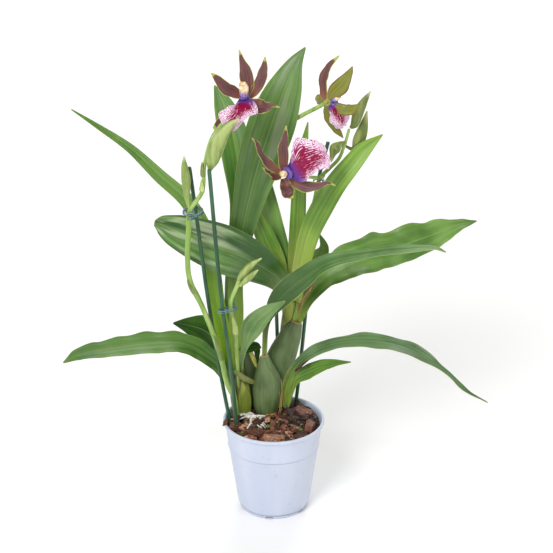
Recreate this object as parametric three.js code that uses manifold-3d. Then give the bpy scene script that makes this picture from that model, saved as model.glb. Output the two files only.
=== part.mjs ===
// A potted orchid in bloom: nursery pot, bark mix, bulbs, leaves, flower stalks, stakes and clips.
// Millimetres. The origin is the centre of the pot's underside, +Z is up, and the side that is
// seen from the front faces -Y.
import * as THREE from 'three';
import { mergeVertices } from 'three/addons/utils/BufferGeometryUtils.js';
import Module from 'manifold-3d';

const wasm = await Module();
wasm.setup();

// ---------------------------------------------------------------- driving dimensions
const gap = 0.3;                 // left between pieces that touch in the real thing
const potHeight = 115;
const potRadius = 60;            // outside of the rolled lip
const footRadius = 42;           // outside of the foot ring
const potWall = 1.4;
const lipHeight = 4;
const lipOut = 1.8;              // how far the lip stands out of the wall
const footHeight = 4;
const footWidth = 8;             // of the foot ring that the pot stands on
const hubRadius = 12;            // of the pad in the middle of the underside
const drainDepth = 3;            // the channel under the floor, above the resting surface
const drainHoles = 6;
const drainHoleRadius = 4;
const drainHoleReach = 24;       // from the pot's axis
const notchWidth = 8;            // of the gaps in the foot ring
const ridgeDrop = 32;            // from the rim down to the ridge round the wall
const ridgeOut = 0.6;
const rounding = 0.8;            // of the pot's small edges
const mixEdge = 106;             // top of the bark mix at the wall
const mixMiddle = 110;
const mixTilt = 0.07;            // the mix stands higher at the back
const mixShoulder = 12;          // from the wall to the flatter middle of the mix
const leafThick = 1.1;
const petalThick = 1.2;
const stakeRadius = 2.3;
const wireRadius = 1.1;
const headRadius = 3.4;          // of the knob where a flower's parts meet
const neckRadius = 2;            // of a flower's own short stalk

// ---------------------------------------------------------------- materials
const paint = {
  pot: ['#dcd9ea', 0.45],
  mix: ['#4a2f22', 0.95],
  chip: ['#7a4c34', 0.9],
  bulb: ['#7f9a62', 0.5],
  bulbDark: ['#46573a', 0.6],
  shoot: ['#8fb05a', 0.45],
  leaf: ['#4f8536', 0.42],
  leafPale: ['#7fa63c', 0.42],
  leafDark: ['#33591f', 0.45],
  stalk: ['#93b455', 0.45],
  bud: ['#b3bd6c', 0.5],
  tepal: ['#6b4344', 0.5],
  lip: ['#d9a6c0', 0.5],
  column: ['#e8dcb4', 0.45],
  stake: ['#3f7350', 0.4],
  clip: ['#5f8390', 0.35],
};

function material(look) {
  const [color, roughness] = paint[look];
  return new THREE.MeshStandardMaterial({ color, roughness, metalness: look === 'clip' ? 0.4 : 0 });
}

// ---------------------------------------------------------------- shapes that follow a route
const vector = (list) => new THREE.Vector3(...list);

// A curve through the points of a route.
function curveThrough(route) {
  return new THREE.CatmullRomCurve3(route.map(vector));
}

// A size that changes along the route: one value for each of the route's points.
function valueAlong(values) {
  return new THREE.CatmullRomCurve3(values.map((value) => new THREE.Vector3(value, 0, 0)));
}

// The place, the way along, the way out of the upper face and the way across at t from 0 to 1.
function frameAt(curve, faces, t) {
  const along = curve.getTangent(t).normalize();
  const up = vector(faces[0]).lerp(vector(faces[1]), t);
  up.addScaledVector(along, -up.dot(along)).normalize();
  const across = new THREE.Vector3().crossVectors(up, along);
  return { place: curve.getPoint(t), along, up, across };
}

// A leaf, sepal or petal: a thin box bent along the route. fold lifts both edges above the middle.
function blade(shape, grow) {
  const { route, half, faces, fold = 0.15, wave = 0, thick = leafThick, steps = 9, lanes = 2 } = shape;
  const curve = curveThrough(route);
  const halfWidth = valueAlong(half);
  const geometry = new THREE.BoxGeometry(2, 1, 1, lanes, 1, steps);
  const position = geometry.attributes.position;
  for (let i = 0; i < position.count; i += 1) {
    const side = position.getX(i);
    const layer = position.getY(i);
    const t = position.getZ(i) + 0.5;
    const { place, up, across } = frameAt(curve, faces, t);
    const width = Math.max(halfWidth.getPoint(t).x, 0.6);
    const ripple = wave * side * Math.sin(t * 19 + side);
    const lift = fold * (Math.abs(side) - 0.5) * width + ripple;
    const depth = (thick + 2 * grow) * (1 - 0.4 * Math.abs(side));
    place.addScaledVector(across, side * (width + grow));
    place.addScaledVector(up, lift + layer * depth);
    position.setXYZ(i, place.x, place.y, place.z);
  }
  return geometry;
}

// A stem, bulb, bud or stake: a cylinder bent along the route. flat squashes it front to back.
function stem(shape, grow) {
  const { route, radii, faces = [[0, -1, 0.1], [0, -1, 0.1]], flat = 1, steps = 8, sides = 7 } = shape;
  const curve = curveThrough(route);
  const radius = valueAlong(radii);
  const geometry = new THREE.CylinderGeometry(1, 1, 1, sides, steps);
  const position = geometry.attributes.position;
  for (let i = 0; i < position.count; i += 1) {
    const t = position.getY(i) + 0.5;
    const { place, up, across } = frameAt(curve, faces, t);
    const size = Math.max(radius.getPoint(t).x, 0.4) + grow;
    place.addScaledVector(across, position.getX(i) * size);
    place.addScaledVector(up, -position.getZ(i) * size * flat);
    position.setXYZ(i, place.x, place.y, place.z);
  }
  return geometry;
}

// ---------------------------------------------------------------- solids
function solidOf(geometry) {
  const plain = geometry.clone();
  plain.deleteAttribute('normal');
  plain.deleteAttribute('uv');
  const merged = mergeVertices(plain, 1e-4);
  return new wasm.Manifold(new wasm.Mesh({
    numProp: 3,
    vertProperties: Float32Array.from(merged.attributes.position.array),
    triVerts: Uint32Array.from(merged.index.array),
  }));
}

function geometryOf(solid) {
  const mesh = solid.getMesh();
  const geometry = new THREE.BufferGeometry();
  geometry.setAttribute('position', new THREE.BufferAttribute(mesh.vertProperties, 3));
  geometry.setIndex(new THREE.BufferAttribute(mesh.triVerts, 1));
  geometry.computeVertexNormals();
  return geometry;
}

// The biggest of the bodies that a cut leaves.
function biggestBody(solid) {
  const bodies = solid.decompose();
  bodies.sort((one, other) => other.volume() - one.volume());
  return bodies[0];
}

// ---------------------------------------------------------------- pot and mix
// Outside radius of the pot's wall at a height.
function wallRadius(z) {
  const top = potRadius - lipOut;
  return THREE.MathUtils.lerp(footRadius, top, z / potHeight);
}

function ring(points) {
  const profile = points.map(([radius, z]) => new THREE.Vector2(radius, z));
  const geometry = new THREE.LatheGeometry(profile, 30);
  geometry.rotateX(Math.PI / 2);
  return geometry;
}

// Which way the drain hole with this number lies from the pot's axis.
function drainTurn(index) {
  const firstTurn = 0.1;
  return firstTurn + (index * 2 * Math.PI) / drainHoles;
}

function drainHole(index) {
  const through = 4 * drainDepth;
  const geometry = new THREE.CylinderGeometry(drainHoleRadius, drainHoleRadius, through, 8);
  geometry.rotateX(Math.PI / 2);
  geometry.translate(drainHoleReach, 0, drainDepth);
  geometry.rotateZ(drainTurn(index));
  return solidOf(geometry);
}

// A gap through the foot ring, from which the water runs out.
function footNotch(index) {
  const notchTurn = -1.8;          // puts one of them at the front, a little to the left
  const notchHeight = drainDepth - 0.6;
  const geometry = new THREE.BoxGeometry(2 * footWidth, notchWidth, 2 * notchHeight);
  geometry.translate(footRadius - footWidth / 2, 0, 0);
  geometry.rotateZ(drainTurn(index) + notchTurn);
  return solidOf(geometry);
}

function potSolid(grow) {
  const outer = (z) => wallRadius(z) + grow;
  const inner = (z) => wallRadius(z) - potWall - grow;
  const floor = drainDepth + potWall;
  const ridge = potHeight - ridgeDrop;
  const lip = potHeight - lipHeight;
  const corner = 2;                // where the wall meets the floor inside
  let pot = solidOf(ring([
    [0, 0],
    [hubRadius, 0],
    [hubRadius + potWall, drainDepth],
    [footRadius - footWidth - potWall, drainDepth],
    [footRadius - footWidth, 0],
    [footRadius - rounding, 0],
    [footRadius, rounding],
    [outer(footHeight) - ridgeOut / 2, footHeight],
    [outer(footHeight), footHeight + rounding],
    [outer(ridge), ridge],
    [outer(ridge) + ridgeOut, ridge + rounding],
    [outer(lip), lip],
    [potRadius - rounding + grow, lip],
    [potRadius + grow, lip + rounding],
    [potRadius + grow, potHeight - rounding],
    [potRadius - rounding + grow, potHeight + grow],
    [inner(potHeight) + rounding, potHeight + grow],
    [inner(potHeight - rounding), potHeight - rounding],
    [inner(floor + corner), floor + corner],
    [inner(floor) - corner, floor + grow],
    [hubRadius + corner + potWall, floor + grow],
    [hubRadius + rounding, potWall + grow],
    [0, potWall + grow],
  ]));
  if (grow === 0) {
    for (let i = 0; i < drainHoles; i += 1) {
      pot = pot.subtract(drainHole(i)).subtract(footNotch(i));
    }
  }
  return pot;
}

function mixSolid(grow) {
  const inner = (z) => wallRadius(z) - potWall - gap + grow;
  const floor = drainDepth + potWall + gap;
  const corner = 4;                // the mix doesn't fill the corner of the floor
  const geometry = ring([
    [0, floor],
    [inner(floor) - corner, floor],
    [inner(floor + corner) - gap, floor + corner],
    [inner(mixEdge) - gap, mixEdge + grow],
    [inner(mixEdge) - mixShoulder, mixMiddle - 1.5 + grow],
    [0, mixMiddle + grow],
  ]);
  const position = geometry.attributes.position;
  for (let i = 0; i < position.count; i += 1) {
    if (position.getZ(i) > potHeight / 2) {
      position.setZ(i, position.getZ(i) + mixTilt * position.getY(i));
    }
  }
  return solidOf(geometry);
}

// ---------------------------------------------------------------- the pieces that follow routes
const front = [0, -0.91, 0.41];
const frontUp = [0, -0.45, 0.89];

// Stakes, pushed into the mix beside the bulbs.
const stakes = {
  stake_left: [[-42, 8, 45], [-52, 8, 106], [-64, 6, 182], [-75, -4, 271], [-84, -14, 361],
    [-92, -24, 440]],
  stake_front: [[-36, -13, 45], [-43, -15, 104], [-49, -19, 188], [-59, -25, 281], [-70, -36, 442]],
  stake_right: [[16, 36, 45], [26, 44, 106], [33, 50, 173], [39, 51, 242], [52, 52, 398], [62, 52, 442]],
  stake_middle: [[5, 38, 45], [6, 51, 112], [4, 57, 205], [-3, 64, 384]],
};

// Pseudobulbs, the young shoot and the column of leaf bases behind the right bulb.
const swellings = {
  bulb_front: {
    look: 'bulb', flat: 0.68, sides: 12, steps: 8,
    route: [[-9, 20, 106], [-9, 20, 124], [-8, 20, 152], [-10, 20, 175], [-11, 21, 187]],
    radii: [11, 15.5, 17, 9.5, 4.5],
  },
  bulb_right: {
    look: 'bulb', flat: 0.58, sides: 12, steps: 8,
    route: [[-4, 42, 108], [0, 42, 138], [8, 41, 172], [20, 41, 204], [27, 41, 222]],
    radii: [11, 15, 17.5, 13, 7],
  },
  bulb_back: {
    look: 'bulbDark', flat: 0.75, sides: 10, steps: 6,
    route: [[-31, 34, 107], [-31, 34, 140], [-30, 35, 167], [-29, 36, 182]],
    radii: [9, 12.5, 10.5, 4],
  },
  shoot_left: {
    look: 'shoot', flat: 0.8, sides: 10, steps: 5,
    route: [[-39, 20, 107], [-40, 20, 129], [-40, 20, 152]],
    radii: [8, 8.5, 5.5],
  },
  crown_right: {
    look: 'shoot', flat: 0.62, sides: 10, steps: 6,
    route: [[10, 50, 112], [12, 50, 160], [16, 47, 210], [20, 41, 250]],
    radii: [6, 7, 8.5, 7],
  },
};

// Flower stalks, from the side of the growths up to the flowers.
const stalks = {
  stalk_left: {
    route: [[-45, 18, 129], [-55, 4, 160], [-62, -6, 202], [-80, -17, 265], [-94, -26, 305],
      [-96, -29, 331], [-94, -31, 368], [-92, -33, 392], [-84, -32, 404], [-78, -30, 414],
      [-75, -25, 444], [-67, -18, 472], [-50, -8, 491], [-35, 2, 501]],
    radii: [3.2, 3, 3, 2.9, 2.8, 2.8, 2.8, 2.8, 2.5, 2.2, 1.9, 1.8, 1.7, 1.7],
    steps: 20,
  },
  stalk_front: {
    route: [[-40, 18, 129], [-43, 0, 204], [-44, -10, 235], [-48, -17, 264], [-48, -19, 277],
      [-42, -20, 293], [-38, -21, 303]],
    radii: [2.6, 2.9, 3.4, 2.5, 2.4, 2.6, 3],
    steps: 11,
  },
  stalk_right: {
    route: [[23, 46, 188], [28, 50, 243], [38, 47, 323], [47, 43, 375], [53, 39, 403], [64, 37, 416],
      [74, 36, 428], [80, 36, 444], [85, 36, 463]],
    radii: [3, 3, 2.7, 2.4, 2.3, 2.2, 2.1, 1.9, 1.7],
    steps: 20,
  },
  stalk_middle: {
    route: [[15, 50, 186], [12, 57, 243], [9, 66, 290], [0, 74, 335], [-9, 79, 378], [-2, 77, 426],
      [16, 68, 456], [31, 54, 472], [53, 40, 489], [57, 36, 493]],
    radii: [3, 3, 2.8, 2.6, 2.5, 2.3, 2.2, 2.1, 1.8, 1.7],
    steps: 20,
  },
};

// Buds, each on its short pedicel.
const buds = {
  bud_left_1: {
    route: [[-93, -33, 395], [-95, -33, 408], [-96, -33, 428], [-97, -33, 444], [-97, -33, 456]],
    radii: [1.7, 3.2, 5.2, 3.6, 0.6],
  },
  bud_left_2: {
    route: [[-70, -28, 436], [-67, -30, 449], [-62, -31, 468], [-51, -32, 487], [-37, -34, 499]],
    radii: [1.7, 7, 9, 6, 0.7],
  },
  bud_front_1: {
    route: [[-40, -21, 302], [-34, -22, 312], [-25, -24, 323], [-13, -26, 332]],
    radii: [2.2, 4.6, 3.6, 0.6],
  },
  bud_front_2: {
    route: [[-38, -25, 297], [-31, -26, 305], [-24, -27, 312], [-17, -29, 319]],
    radii: [1.8, 3.6, 3, 0.6],
  },
  bud_right_1: {
    route: [[86, 36, 464], [90, 36, 468], [94, 36, 482], [101, 36, 496], [108, 36, 507]],
    radii: [1.7, 4.6, 6.2, 4, 0.6],
  },
  bud_right_2: {
    route: [[80, 36, 443], [90, 43, 437], [95, 43, 446], [100, 43, 460], [105, 43, 482]],
    radii: [1.5, 2.6, 6.8, 6, 0.6],
  },
  bud_right_3: {
    route: [[82, 32, 449], [76, 31, 447], [70, 30, 442], [67, 29, 436], [65, 28, 426]],
    radii: [1.3, 3, 6.4, 4, 0.6],
  },
};

// Leaves: the route of the middle vein, half the width at each of its points, and which way the
// upper face looks at the base and at the tip.
const leaves = {
  leaf_front: {
    look: 'leaf', faces: [front, front], fold: 0.25, wave: 0.5,
    route: [[-42, 18, 129], [-40, 12, 172], [-33, 5, 208], [-25, -4, 235], [-10, -17, 259],
      [13, -30, 281]],
    half: [5, 8.3, 14, 14, 8.5, 0.8],
  },
  leaf_long_right: {
    look: 'leaf', faces: [front, [0, -0.2, 1]], fold: 0.2,
    route: [[-11, 21, 184], [-7, 15, 236], [9, 7, 269], [36, -4, 299], [63, -20, 325], [107, -44, 345],
      [149, -66, 359], [185, -80, 366]],
    half: [4, 6.5, 16, 14, 11, 9.5, 7, 0.8], steps: 12,
  },
  leaf_drooping_right: {
    look: 'leaf', faces: [front, [0.2, -0.1, 1]], fold: 0.2, wave: 0.6,
    route: [[10, 25, 115], [15, 18, 149], [29, 6, 184], [59, -14, 216], [104, -42, 237], [147, -70, 242],
      [185, -92, 229], [212, -106, 208], [237, -114, 196]],
    half: [4.5, 7, 8.5, 12, 14.5, 13.5, 10, 4.5, 0.7], steps: 13,
  },
  leaf_small_right: {
    look: 'leaf', faces: [front, frontUp], fold: 0.2,
    route: [[15, 21, 119], [25, 12, 159], [43, 2, 176], [65, -14, 193], [89, -30, 204]],
    half: [3.5, 5.9, 8.6, 5.5, 0.7],
  },
  leaf_big_right: {
    look: 'leaf', faces: [front, frontUp], fold: 0.15, wave: 1,
    route: [[28, 42, 222], [38, 38, 251], [59, 38, 280], [95, 44, 301], [136, 56, 308], [183, 68, 320],
      [216, 78, 329], [239, 84, 332]],
    half: [5.5, 9, 14, 22, 23, 20, 9.5, 0.8], steps: 12, lanes: 4,
  },
  leaf_erect_right: {
    look: 'leafPale', faces: [front, [0.2, -0.9, 0.3]], fold: 0.25,
    route: [[25, 38, 248], [32, 31, 297], [42, 27, 342], [54, 25, 371], [71, 26, 402], [85, 29, 420],
      [102, 35, 439], [123, 40, 455]],
    half: [7, 10, 12, 13, 12.5, 11.5, 9, 0.8], steps: 10,
  },
  leaf_broad_left: {
    look: 'leafPale', faces: [front, [-0.1, -0.6, 0.8]], fold: 0.08,
    route: [[18, 38, 248], [6, 30, 280], [-25, 16, 309], [-55, 6, 328], [-85, 0, 343], [-112, -6, 358],
      [-127, -8, 366], [-134, -8, 367]],
    half: [7, 14, 24, 29, 26.5, 20, 11, 3], steps: 12, lanes: 4,
  },
  leaf_erect_middle: {
    look: 'leafPale', faces: [front, front], fold: 0.25,
    route: [[22, 42, 246], [26, 44, 306], [28, 47, 354], [30, 52, 396], [34, 57, 430], [39, 60, 463]],
    half: [6, 9.3, 9.2, 8, 5.7, 0.7],
  },
  leaf_short_right: {
    look: 'leafDark', faces: [front, front], fold: 0.2,
    route: [[28, 46, 237], [37, 52, 257], [50, 60, 290], [59, 66, 305], [54, 70, 321]],
    half: [4.7, 9.4, 11.7, 6, 0.8], steps: 10,
  },
  leaf_pale_centre: {
    look: 'leafPale', faces: [front, front], fold: 0.25,
    route: [[15, 40, 245], [5, 40, 295], [-8, 43, 325], [-20, 48, 354], [-29, 54, 380], [-34, 58, 403]],
    half: [4.7, 10, 11.5, 9, 6, 0.8],
  },
  leaf_dark_centre: {
    look: 'leafDark', faces: [front, front], fold: 0.25,
    route: [[16, 46, 242], [9, 47, 298], [-4, 52, 346], [-13, 62, 386], [-20, 74, 424], [-27, 84, 451]],
    half: [5.8, 11.6, 13.9, 11.5, 6.9, 0.8],
  },
  leaf_narrow_left: {
    look: 'leaf', faces: [[-0.1, -0.95, 0.2], [-0.2, -0.5, 0.9]], fold: 0.3,
    route: [[-45, 24, 133], [-55, 32, 195], [-66, 40, 243], [-72, 48, 287], [-81, 58, 331],
      [-100, 72, 361], [-133, 92, 385], [-168, 112, 412], [-205, 132, 431], [-240, 150, 448]],
    half: [6, 8, 10, 10.5, 10, 9, 8, 5.5, 3.5, 0.7], steps: 12,
  },
  leaf_tall: {
    look: 'leaf', faces: [[0.1, -0.9, 0.3], [-0.1, -0.9, 0.3]], fold: 0.12,
    route: [[-40, 25, 136], [-43, 28, 197], [-44, 29, 240], [-44, 30, 280], [-39, 32, 323],
      [-30, 35, 369], [-18, 42, 415], [-1, 50, 466], [13, 60, 503], [24, 68, 529],
      [36, 76, 546]],
    half: [6, 7, 9, 9, 12, 17, 24, 27, 20, 9.5, 0.8], steps: 13, lanes: 4,
  },
  leaf_tall_left: {
    look: 'leafPale', faces: [front, front], fold: 0.2,
    route: [[-40, 30, 136], [-46, 38, 192], [-49, 44, 248], [-46, 50, 303], [-40, 58, 363],
      [-41, 68, 408], [-48, 80, 446], [-58, 92, 474], [-68, 102, 493]],
    half: [6, 8, 8.5, 9, 10.5, 17, 17, 11, 0.8], steps: 10,
  },
  leaf_low_left: {
    look: 'leaf', faces: [[-0.5, -0.6, 0.6], frontUp], fold: 0.12, wave: 0.8,
    route: [[-44, 22, 132], [-54, 20, 160], [-74, 16, 186], [-103, 5, 210], [-142, -14, 220],
      [-186, -36, 224], [-219, -52, 225], [-237, -62, 219]],
    half: [5, 8, 10, 14, 16, 13, 9, 0.8], steps: 11,
  },
  leaf_low_dark: {
    look: 'leafDark', faces: [[-0.4, -0.7, 0.6], front], fold: 0.1,
    route: [[-43, 30, 134], [-50, 38, 159], [-64, 48, 187], [-82, 62, 199], [-103, 78, 199],
      [-122, 90, 196]],
    half: [5, 11, 19, 19, 10, 0.8],
  },
};

// ---------------------------------------------------------------- flowers
// Each flower: the point where its parts meet, the way it faces, the tips of its three sepals
// and two petals, the route and half widths of its lip, its column and its own short stalk.
const flowers = {
  flower_left: {
    centre: [-30, 4, 511], facing: [-0.25, -0.93, 0],
    tips: [[-67, -14, 542], [-37, 6, 563], [-9, 4, 558], [7, -12, 506], [-62, -6, 476]],
    lip: [[-31, 0, 507], [-36, -11, 501], [-44, -20, 493], [-51, -24, 487]],
    lipHalf: [4, 10, 17, 15], lipFaces: [[-0.2, -0.6, 0.8], [-0.3, -0.9, 0.3]],
    column: [[-34, -1, 513], [-35, -6, 517], [-36, -10, 521]],
    neck: [[-30, 4, 511], [-33, 3, 504]],
  },
  flower_front: {
    centre: [10, 0, 422], facing: [-0.1, -0.97, 0.1],
    tips: [[16, 4, 476], [-24, -8, 468], [-14, -34, 430], [21, -24, 398], [70, -14, 413]],
    lip: [[16, -5, 427], [26, -12, 433], [41, -14, 440], [57, -11, 448]],
    lipHalf: [4, 12, 20, 16], lipFaces: [[-0.6, -0.8, 0], [0, -1, 0.1]],
    column: [[9, -5, 423], [9, -10, 425], [12, -15, 423]],
    neck: [[10, 0, 422], [28, 20, 412], [52, 38, 404]],
  },
  flower_right: {
    centre: [60, 32, 496], facing: [0.75, 0.3, -0.2],
    tips: [[73, 38, 547], [86, 24, 539], [96, 12, 496], [79, 28, 456], [52, 56, 490]],
    lip: [[67, 34, 492], [73, 36, 484], [78, 36, 475], [83, 35, 467]],
    lipHalf: [4, 11, 17, 14], lipFaces: [[0.5, 0.1, 0.8], [0.6, 0.2, 0.7]],
    column: [[66, 34, 498], [71, 35, 500], [75, 35, 501]],
    neck: [[60, 32, 496], [58, 34, 495]],
  },
};

// A sepal or petal from the flower's centre to its tip, bowed towards the side it faces.
function tepal(centre, tip, facing) {
  const start = vector(centre);
  const end = vector(tip);
  const reach = start.distanceTo(end);
  const bow = vector(facing).normalize().multiplyScalar(reach * 0.1);
  const route = [0, 0.3, 0.65, 1].map((t) => {
    const point = start.clone().lerp(end, t);
    return point.addScaledVector(bow, Math.sin(t * Math.PI)).toArray();
  });
  const half = [2.2, 5.6, 6.2, 0.8];
  return { route, half, faces: [facing, facing], thick: petalThick, steps: 5 };
}

// The five sepals and petals grow together on the head of the flower's own short stalk.
function tepalsSolid({ centre, tips, facing, neck }, grow) {
  const head = new THREE.IcosahedronGeometry(headRadius + grow, 0);
  head.translate(...centre);
  const stalk = stem({ route: neck, radii: neck.map(() => neckRadius), steps: 3, sides: 6 }, grow);
  const start = solidOf(head).add(solidOf(stalk));
  return tips.reduce((sum, tip) => sum.add(solidOf(blade(tepal(centre, tip, facing), grow))), start);
}

function lipSolid({ lip, lipHalf, lipFaces }, grow) {
  const shape = { route: lip, half: lipHalf, faces: lipFaces, fold: -0.2, steps: 6, lanes: 4 };
  return solidOf(blade({ ...shape, thick: petalThick + 0.2 }, grow));
}

// ---------------------------------------------------------------- chips and clips
const chips = {
  bark_chip_1: { at: [-50, -16, 110], size: [11, 7, 5], turn: [0.1, -0.3, 0.6] },
  bark_chip_2: { at: [-22, -30, 112], size: [12, 8, 5], turn: [0.2, 0.1, 2.4] },
  bark_chip_3: { at: [0, -40, 110], size: [11, 7, 5.5], turn: [-0.2, 0.2, 0.4] },
  bark_chip_4: { at: [44, -12, 111], size: [12, 7, 5], turn: [0.15, 0.1, 1.5] },
  bark_chip_5: { at: [36, 16, 112], size: [10, 7, 5], turn: [0.1, -0.2, 2.9] },
  bark_chip_6: { at: [-18, -8, 113], size: [10, 7, 5], turn: [-0.1, 0.2, 1.1] },
};

function chipSolid({ at, size, turn }, grow) {
  const geometry = new THREE.DodecahedronGeometry(1);
  geometry.scale(size[0] + grow, size[1] + grow, size[2] + grow);
  geometry.rotateX(turn[0]);
  geometry.rotateY(turn[1]);
  geometry.rotateZ(turn[2]);
  geometry.translate(...at);
  return solidOf(geometry);
}

// A wire clip: an open loop that holds a stalk to its stake.
const clips = {
  clip_left: { one: [-86, -17, 386], other: [-92, -32, 384], reach: 6.5 },
  clip_front: { one: [-58, -24, 266], other: [-47, -18, 266], reach: 6 },
  clip_right: { one: [52, 52, 396], other: [51, 41, 396], reach: 6 },
};

function clipSolid({ one, other, reach }, grow) {
  const middle = vector(one).lerp(vector(other), 0.5);
  const across = vector(other).sub(vector(one));
  const long = across.length() / 2 + reach;
  const side = Math.atan2(across.y, across.x);
  const route = [];
  const turns = 12;
  const openHalf = 0.35;           // half the angle that the loop leaves open
  for (let i = 0; i <= turns; i += 1) {
    const angle = THREE.MathUtils.lerp(openHalf, 2 * Math.PI - openHalf, i / turns);
    const x = long * Math.cos(angle);
    const y = reach * Math.sin(angle);
    route.push([
      middle.x + x * Math.cos(side) - y * Math.sin(side),
      middle.y + x * Math.sin(side) + y * Math.cos(side),
      middle.z,
    ]);
  }
  const radii = route.map(() => wireRadius);
  return solidOf(stem({ route, radii, faces: [[0, 0, 1], [0, 0, 1]], steps: 20, sides: 6 }, grow));
}

// ---------------------------------------------------------------- assembly
// Each piece: its name, its look and a way to make it, bigger by grow all round. A later piece
// is trimmed by the earlier ones that it touches, which leaves the gap between them.
const pieces = [];
function add(name, look, make) {
  pieces.push({ name, look, make });
}

add('pot', 'pot', potSolid);
for (const [name, route] of Object.entries(stakes)) {
  const radii = route.map(() => stakeRadius);
  add(name, 'stake', (grow) => solidOf(stem({ route, radii, steps: 8, sides: 10 }, grow)));
}
add('potting_mix', 'mix', mixSolid);
for (const [name, shape] of Object.entries(swellings)) {
  add(name, shape.look, (grow) => solidOf(stem(shape, grow)));
}
for (const [name, shape] of Object.entries(chips)) {
  add(name, 'chip', (grow) => chipSolid(shape, grow));
}
for (const [name, shape] of Object.entries(stalks)) {
  add(name, 'stalk', (grow) => solidOf(stem(shape, grow)));
}
for (const [name, shape] of Object.entries(clips)) {
  add(name, 'clip', (grow) => clipSolid(shape, grow));
}
for (const [name, shape] of Object.entries(flowers)) {
  const column = { route: shape.column, radii: [3, 3.6, 3], steps: 4, sides: 8 };
  add(`${name}_tepals`, 'tepal', (grow) => tepalsSolid(shape, grow));
  add(`${name}_lip`, 'lip', (grow) => lipSolid(shape, grow));
  add(`${name}_column`, 'column', (grow) => solidOf(stem(column, grow)));
}
for (const [name, shape] of Object.entries(buds)) {
  add(name, 'bud', (grow) => solidOf(stem(shape, grow)));
}
for (const [name, shape] of Object.entries(leaves)) {
  add(name, shape.look, (grow) => solidOf(blade(shape, grow)));
}

function boxesMeet(one, other) {
  const a = one.boundingBox();
  const b = other.boundingBox();
  return [0, 1, 2].every((k) => a.min[k] < b.max[k] && b.min[k] < a.max[k]);
}

const plant = new THREE.Group();
plant.name = 'potted_orchid';
pieces.forEach((piece, index) => {
  let body = piece.make(0);
  for (const other of pieces.slice(0, index)) {
    if (boxesMeet(body, other.grown)) {
      body = body.subtract(other.grown);
    }
  }
  piece.grown = piece.make(gap);
  const mesh = new THREE.Mesh(geometryOf(biggestBody(body)), material(piece.look));
  mesh.name = piece.name;
  plant.add(mesh);
});

export default plant;
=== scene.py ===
# %% [markdown]
# # A potted orchid in bloom
# The plant stands in a pale nursery pot of bark: leaves, bulbs, three flower stalks with open
# flowers and buds, four green stakes and three wire clips. Every piece is a thing of its own,
# made at its real place, in metres, with the pot's underside centred on the origin.

import math
import random

import bmesh
import bpy
from mathutils import Matrix, Vector, noise


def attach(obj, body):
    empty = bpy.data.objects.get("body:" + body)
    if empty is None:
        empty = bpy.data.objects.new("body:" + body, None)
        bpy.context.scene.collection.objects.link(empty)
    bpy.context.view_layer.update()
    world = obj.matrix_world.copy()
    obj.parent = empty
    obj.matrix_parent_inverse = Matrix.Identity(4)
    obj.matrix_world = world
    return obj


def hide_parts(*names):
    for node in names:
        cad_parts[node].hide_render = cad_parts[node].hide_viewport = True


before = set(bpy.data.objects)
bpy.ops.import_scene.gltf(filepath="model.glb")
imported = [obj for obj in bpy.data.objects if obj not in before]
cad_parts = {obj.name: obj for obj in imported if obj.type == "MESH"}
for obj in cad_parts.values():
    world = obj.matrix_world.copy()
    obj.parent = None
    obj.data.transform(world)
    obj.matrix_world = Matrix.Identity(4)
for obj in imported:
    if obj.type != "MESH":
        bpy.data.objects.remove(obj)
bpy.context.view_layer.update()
MM = 0.001
print("pieces in the frame:", len(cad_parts))

# %% [markdown]
# ## Camera
# The photograph looks down on the plant by about a quarter of a right angle, from two metres
# away. A long lens at that distance keeps the pot's sides nearly parallel, which a wide lens
# from close by would not.

# %% Place the camera
camera_distance = 2.0
camera_tilt = math.radians(24.017)
camera_aim = Vector((0.0034, 0.0, 0.2979))
camera_offset = Vector((0, -math.cos(camera_tilt), math.sin(camera_tilt)))
bpy.ops.object.select_all(action="DESELECT")
bpy.ops.object.camera_add(
    location=camera_aim + camera_distance * camera_offset,
    rotation=(math.pi / 2 - camera_tilt, 0, 0),
)
camera = bpy.context.object
camera.name = "photo_camera"
camera.data.sensor_width = 36
camera.data.lens = 114.2
scene = bpy.context.scene
scene.camera = camera
print("camera at", tuple(round(value, 3) for value in camera.location))

# %% [markdown]
# ## Nodes
# The floor, the sky and every finish are made of nodes, small steps that pass numbers and
# colours on. What is being made lies on the bench, and each helper adds a node or two to it.

# %% Starting on the bench
bench = {}


def lay_on_bench(thing, shader, **constants):
    """Starts the nodes of a material or a sky, and sets the constants of its shader."""
    thing.use_nodes = True
    bench["tree"] = thing.node_tree
    bench["shader"] = thing.node_tree.nodes[shader]
    for socket, value in constants.items():
        bench["shader"].inputs[socket.replace("_", " ")].default_value = value


def start_finish(name, roughness, **constants):
    finish = bpy.data.materials.new(name)
    lay_on_bench(finish, "Principled BSDF", Roughness=roughness, **constants)
    return finish


def node(kind, sockets=None, **settings):
    """Adds a node, sets it up, and gives its sockets their values or their wires."""
    made = bench["tree"].nodes.new("ShaderNode" + kind)
    for key, value in settings.items():
        setattr(made, key, value)
    for key, value in (sockets or {}).items():
        if isinstance(value, bpy.types.NodeSocket):
            bench["tree"].links.new(value, made.inputs[key])
        else:
            made.inputs[key].default_value = value
    return made


def wire(source, socket):
    """Leads a value to a socket of the shader."""
    bench["tree"].links.new(source, bench["shader"].inputs[socket])


print("the bench is ready")

# %% Sums, colours and patterns
def calc(operation, one, other=0.0):
    return node("Math", {0: one, 1: other}, operation=operation).outputs[0]


def times(one, other):
    return calc("MULTIPLY", one, other)


def plus(one, other):
    return calc("ADD", one, other)


def minus(one, other):
    return calc("SUBTRACT", one, other)


def between(value, low, high):
    """0 where value is low, 1 where it is high, smooth in between; low may be the larger."""
    if low > high:
        return minus(1.0, between(value, high, low))
    return node("MapRange", {0: value, 1: low, 2: high}, interpolation_type="SMOOTHSTEP").outputs[0]


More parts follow.
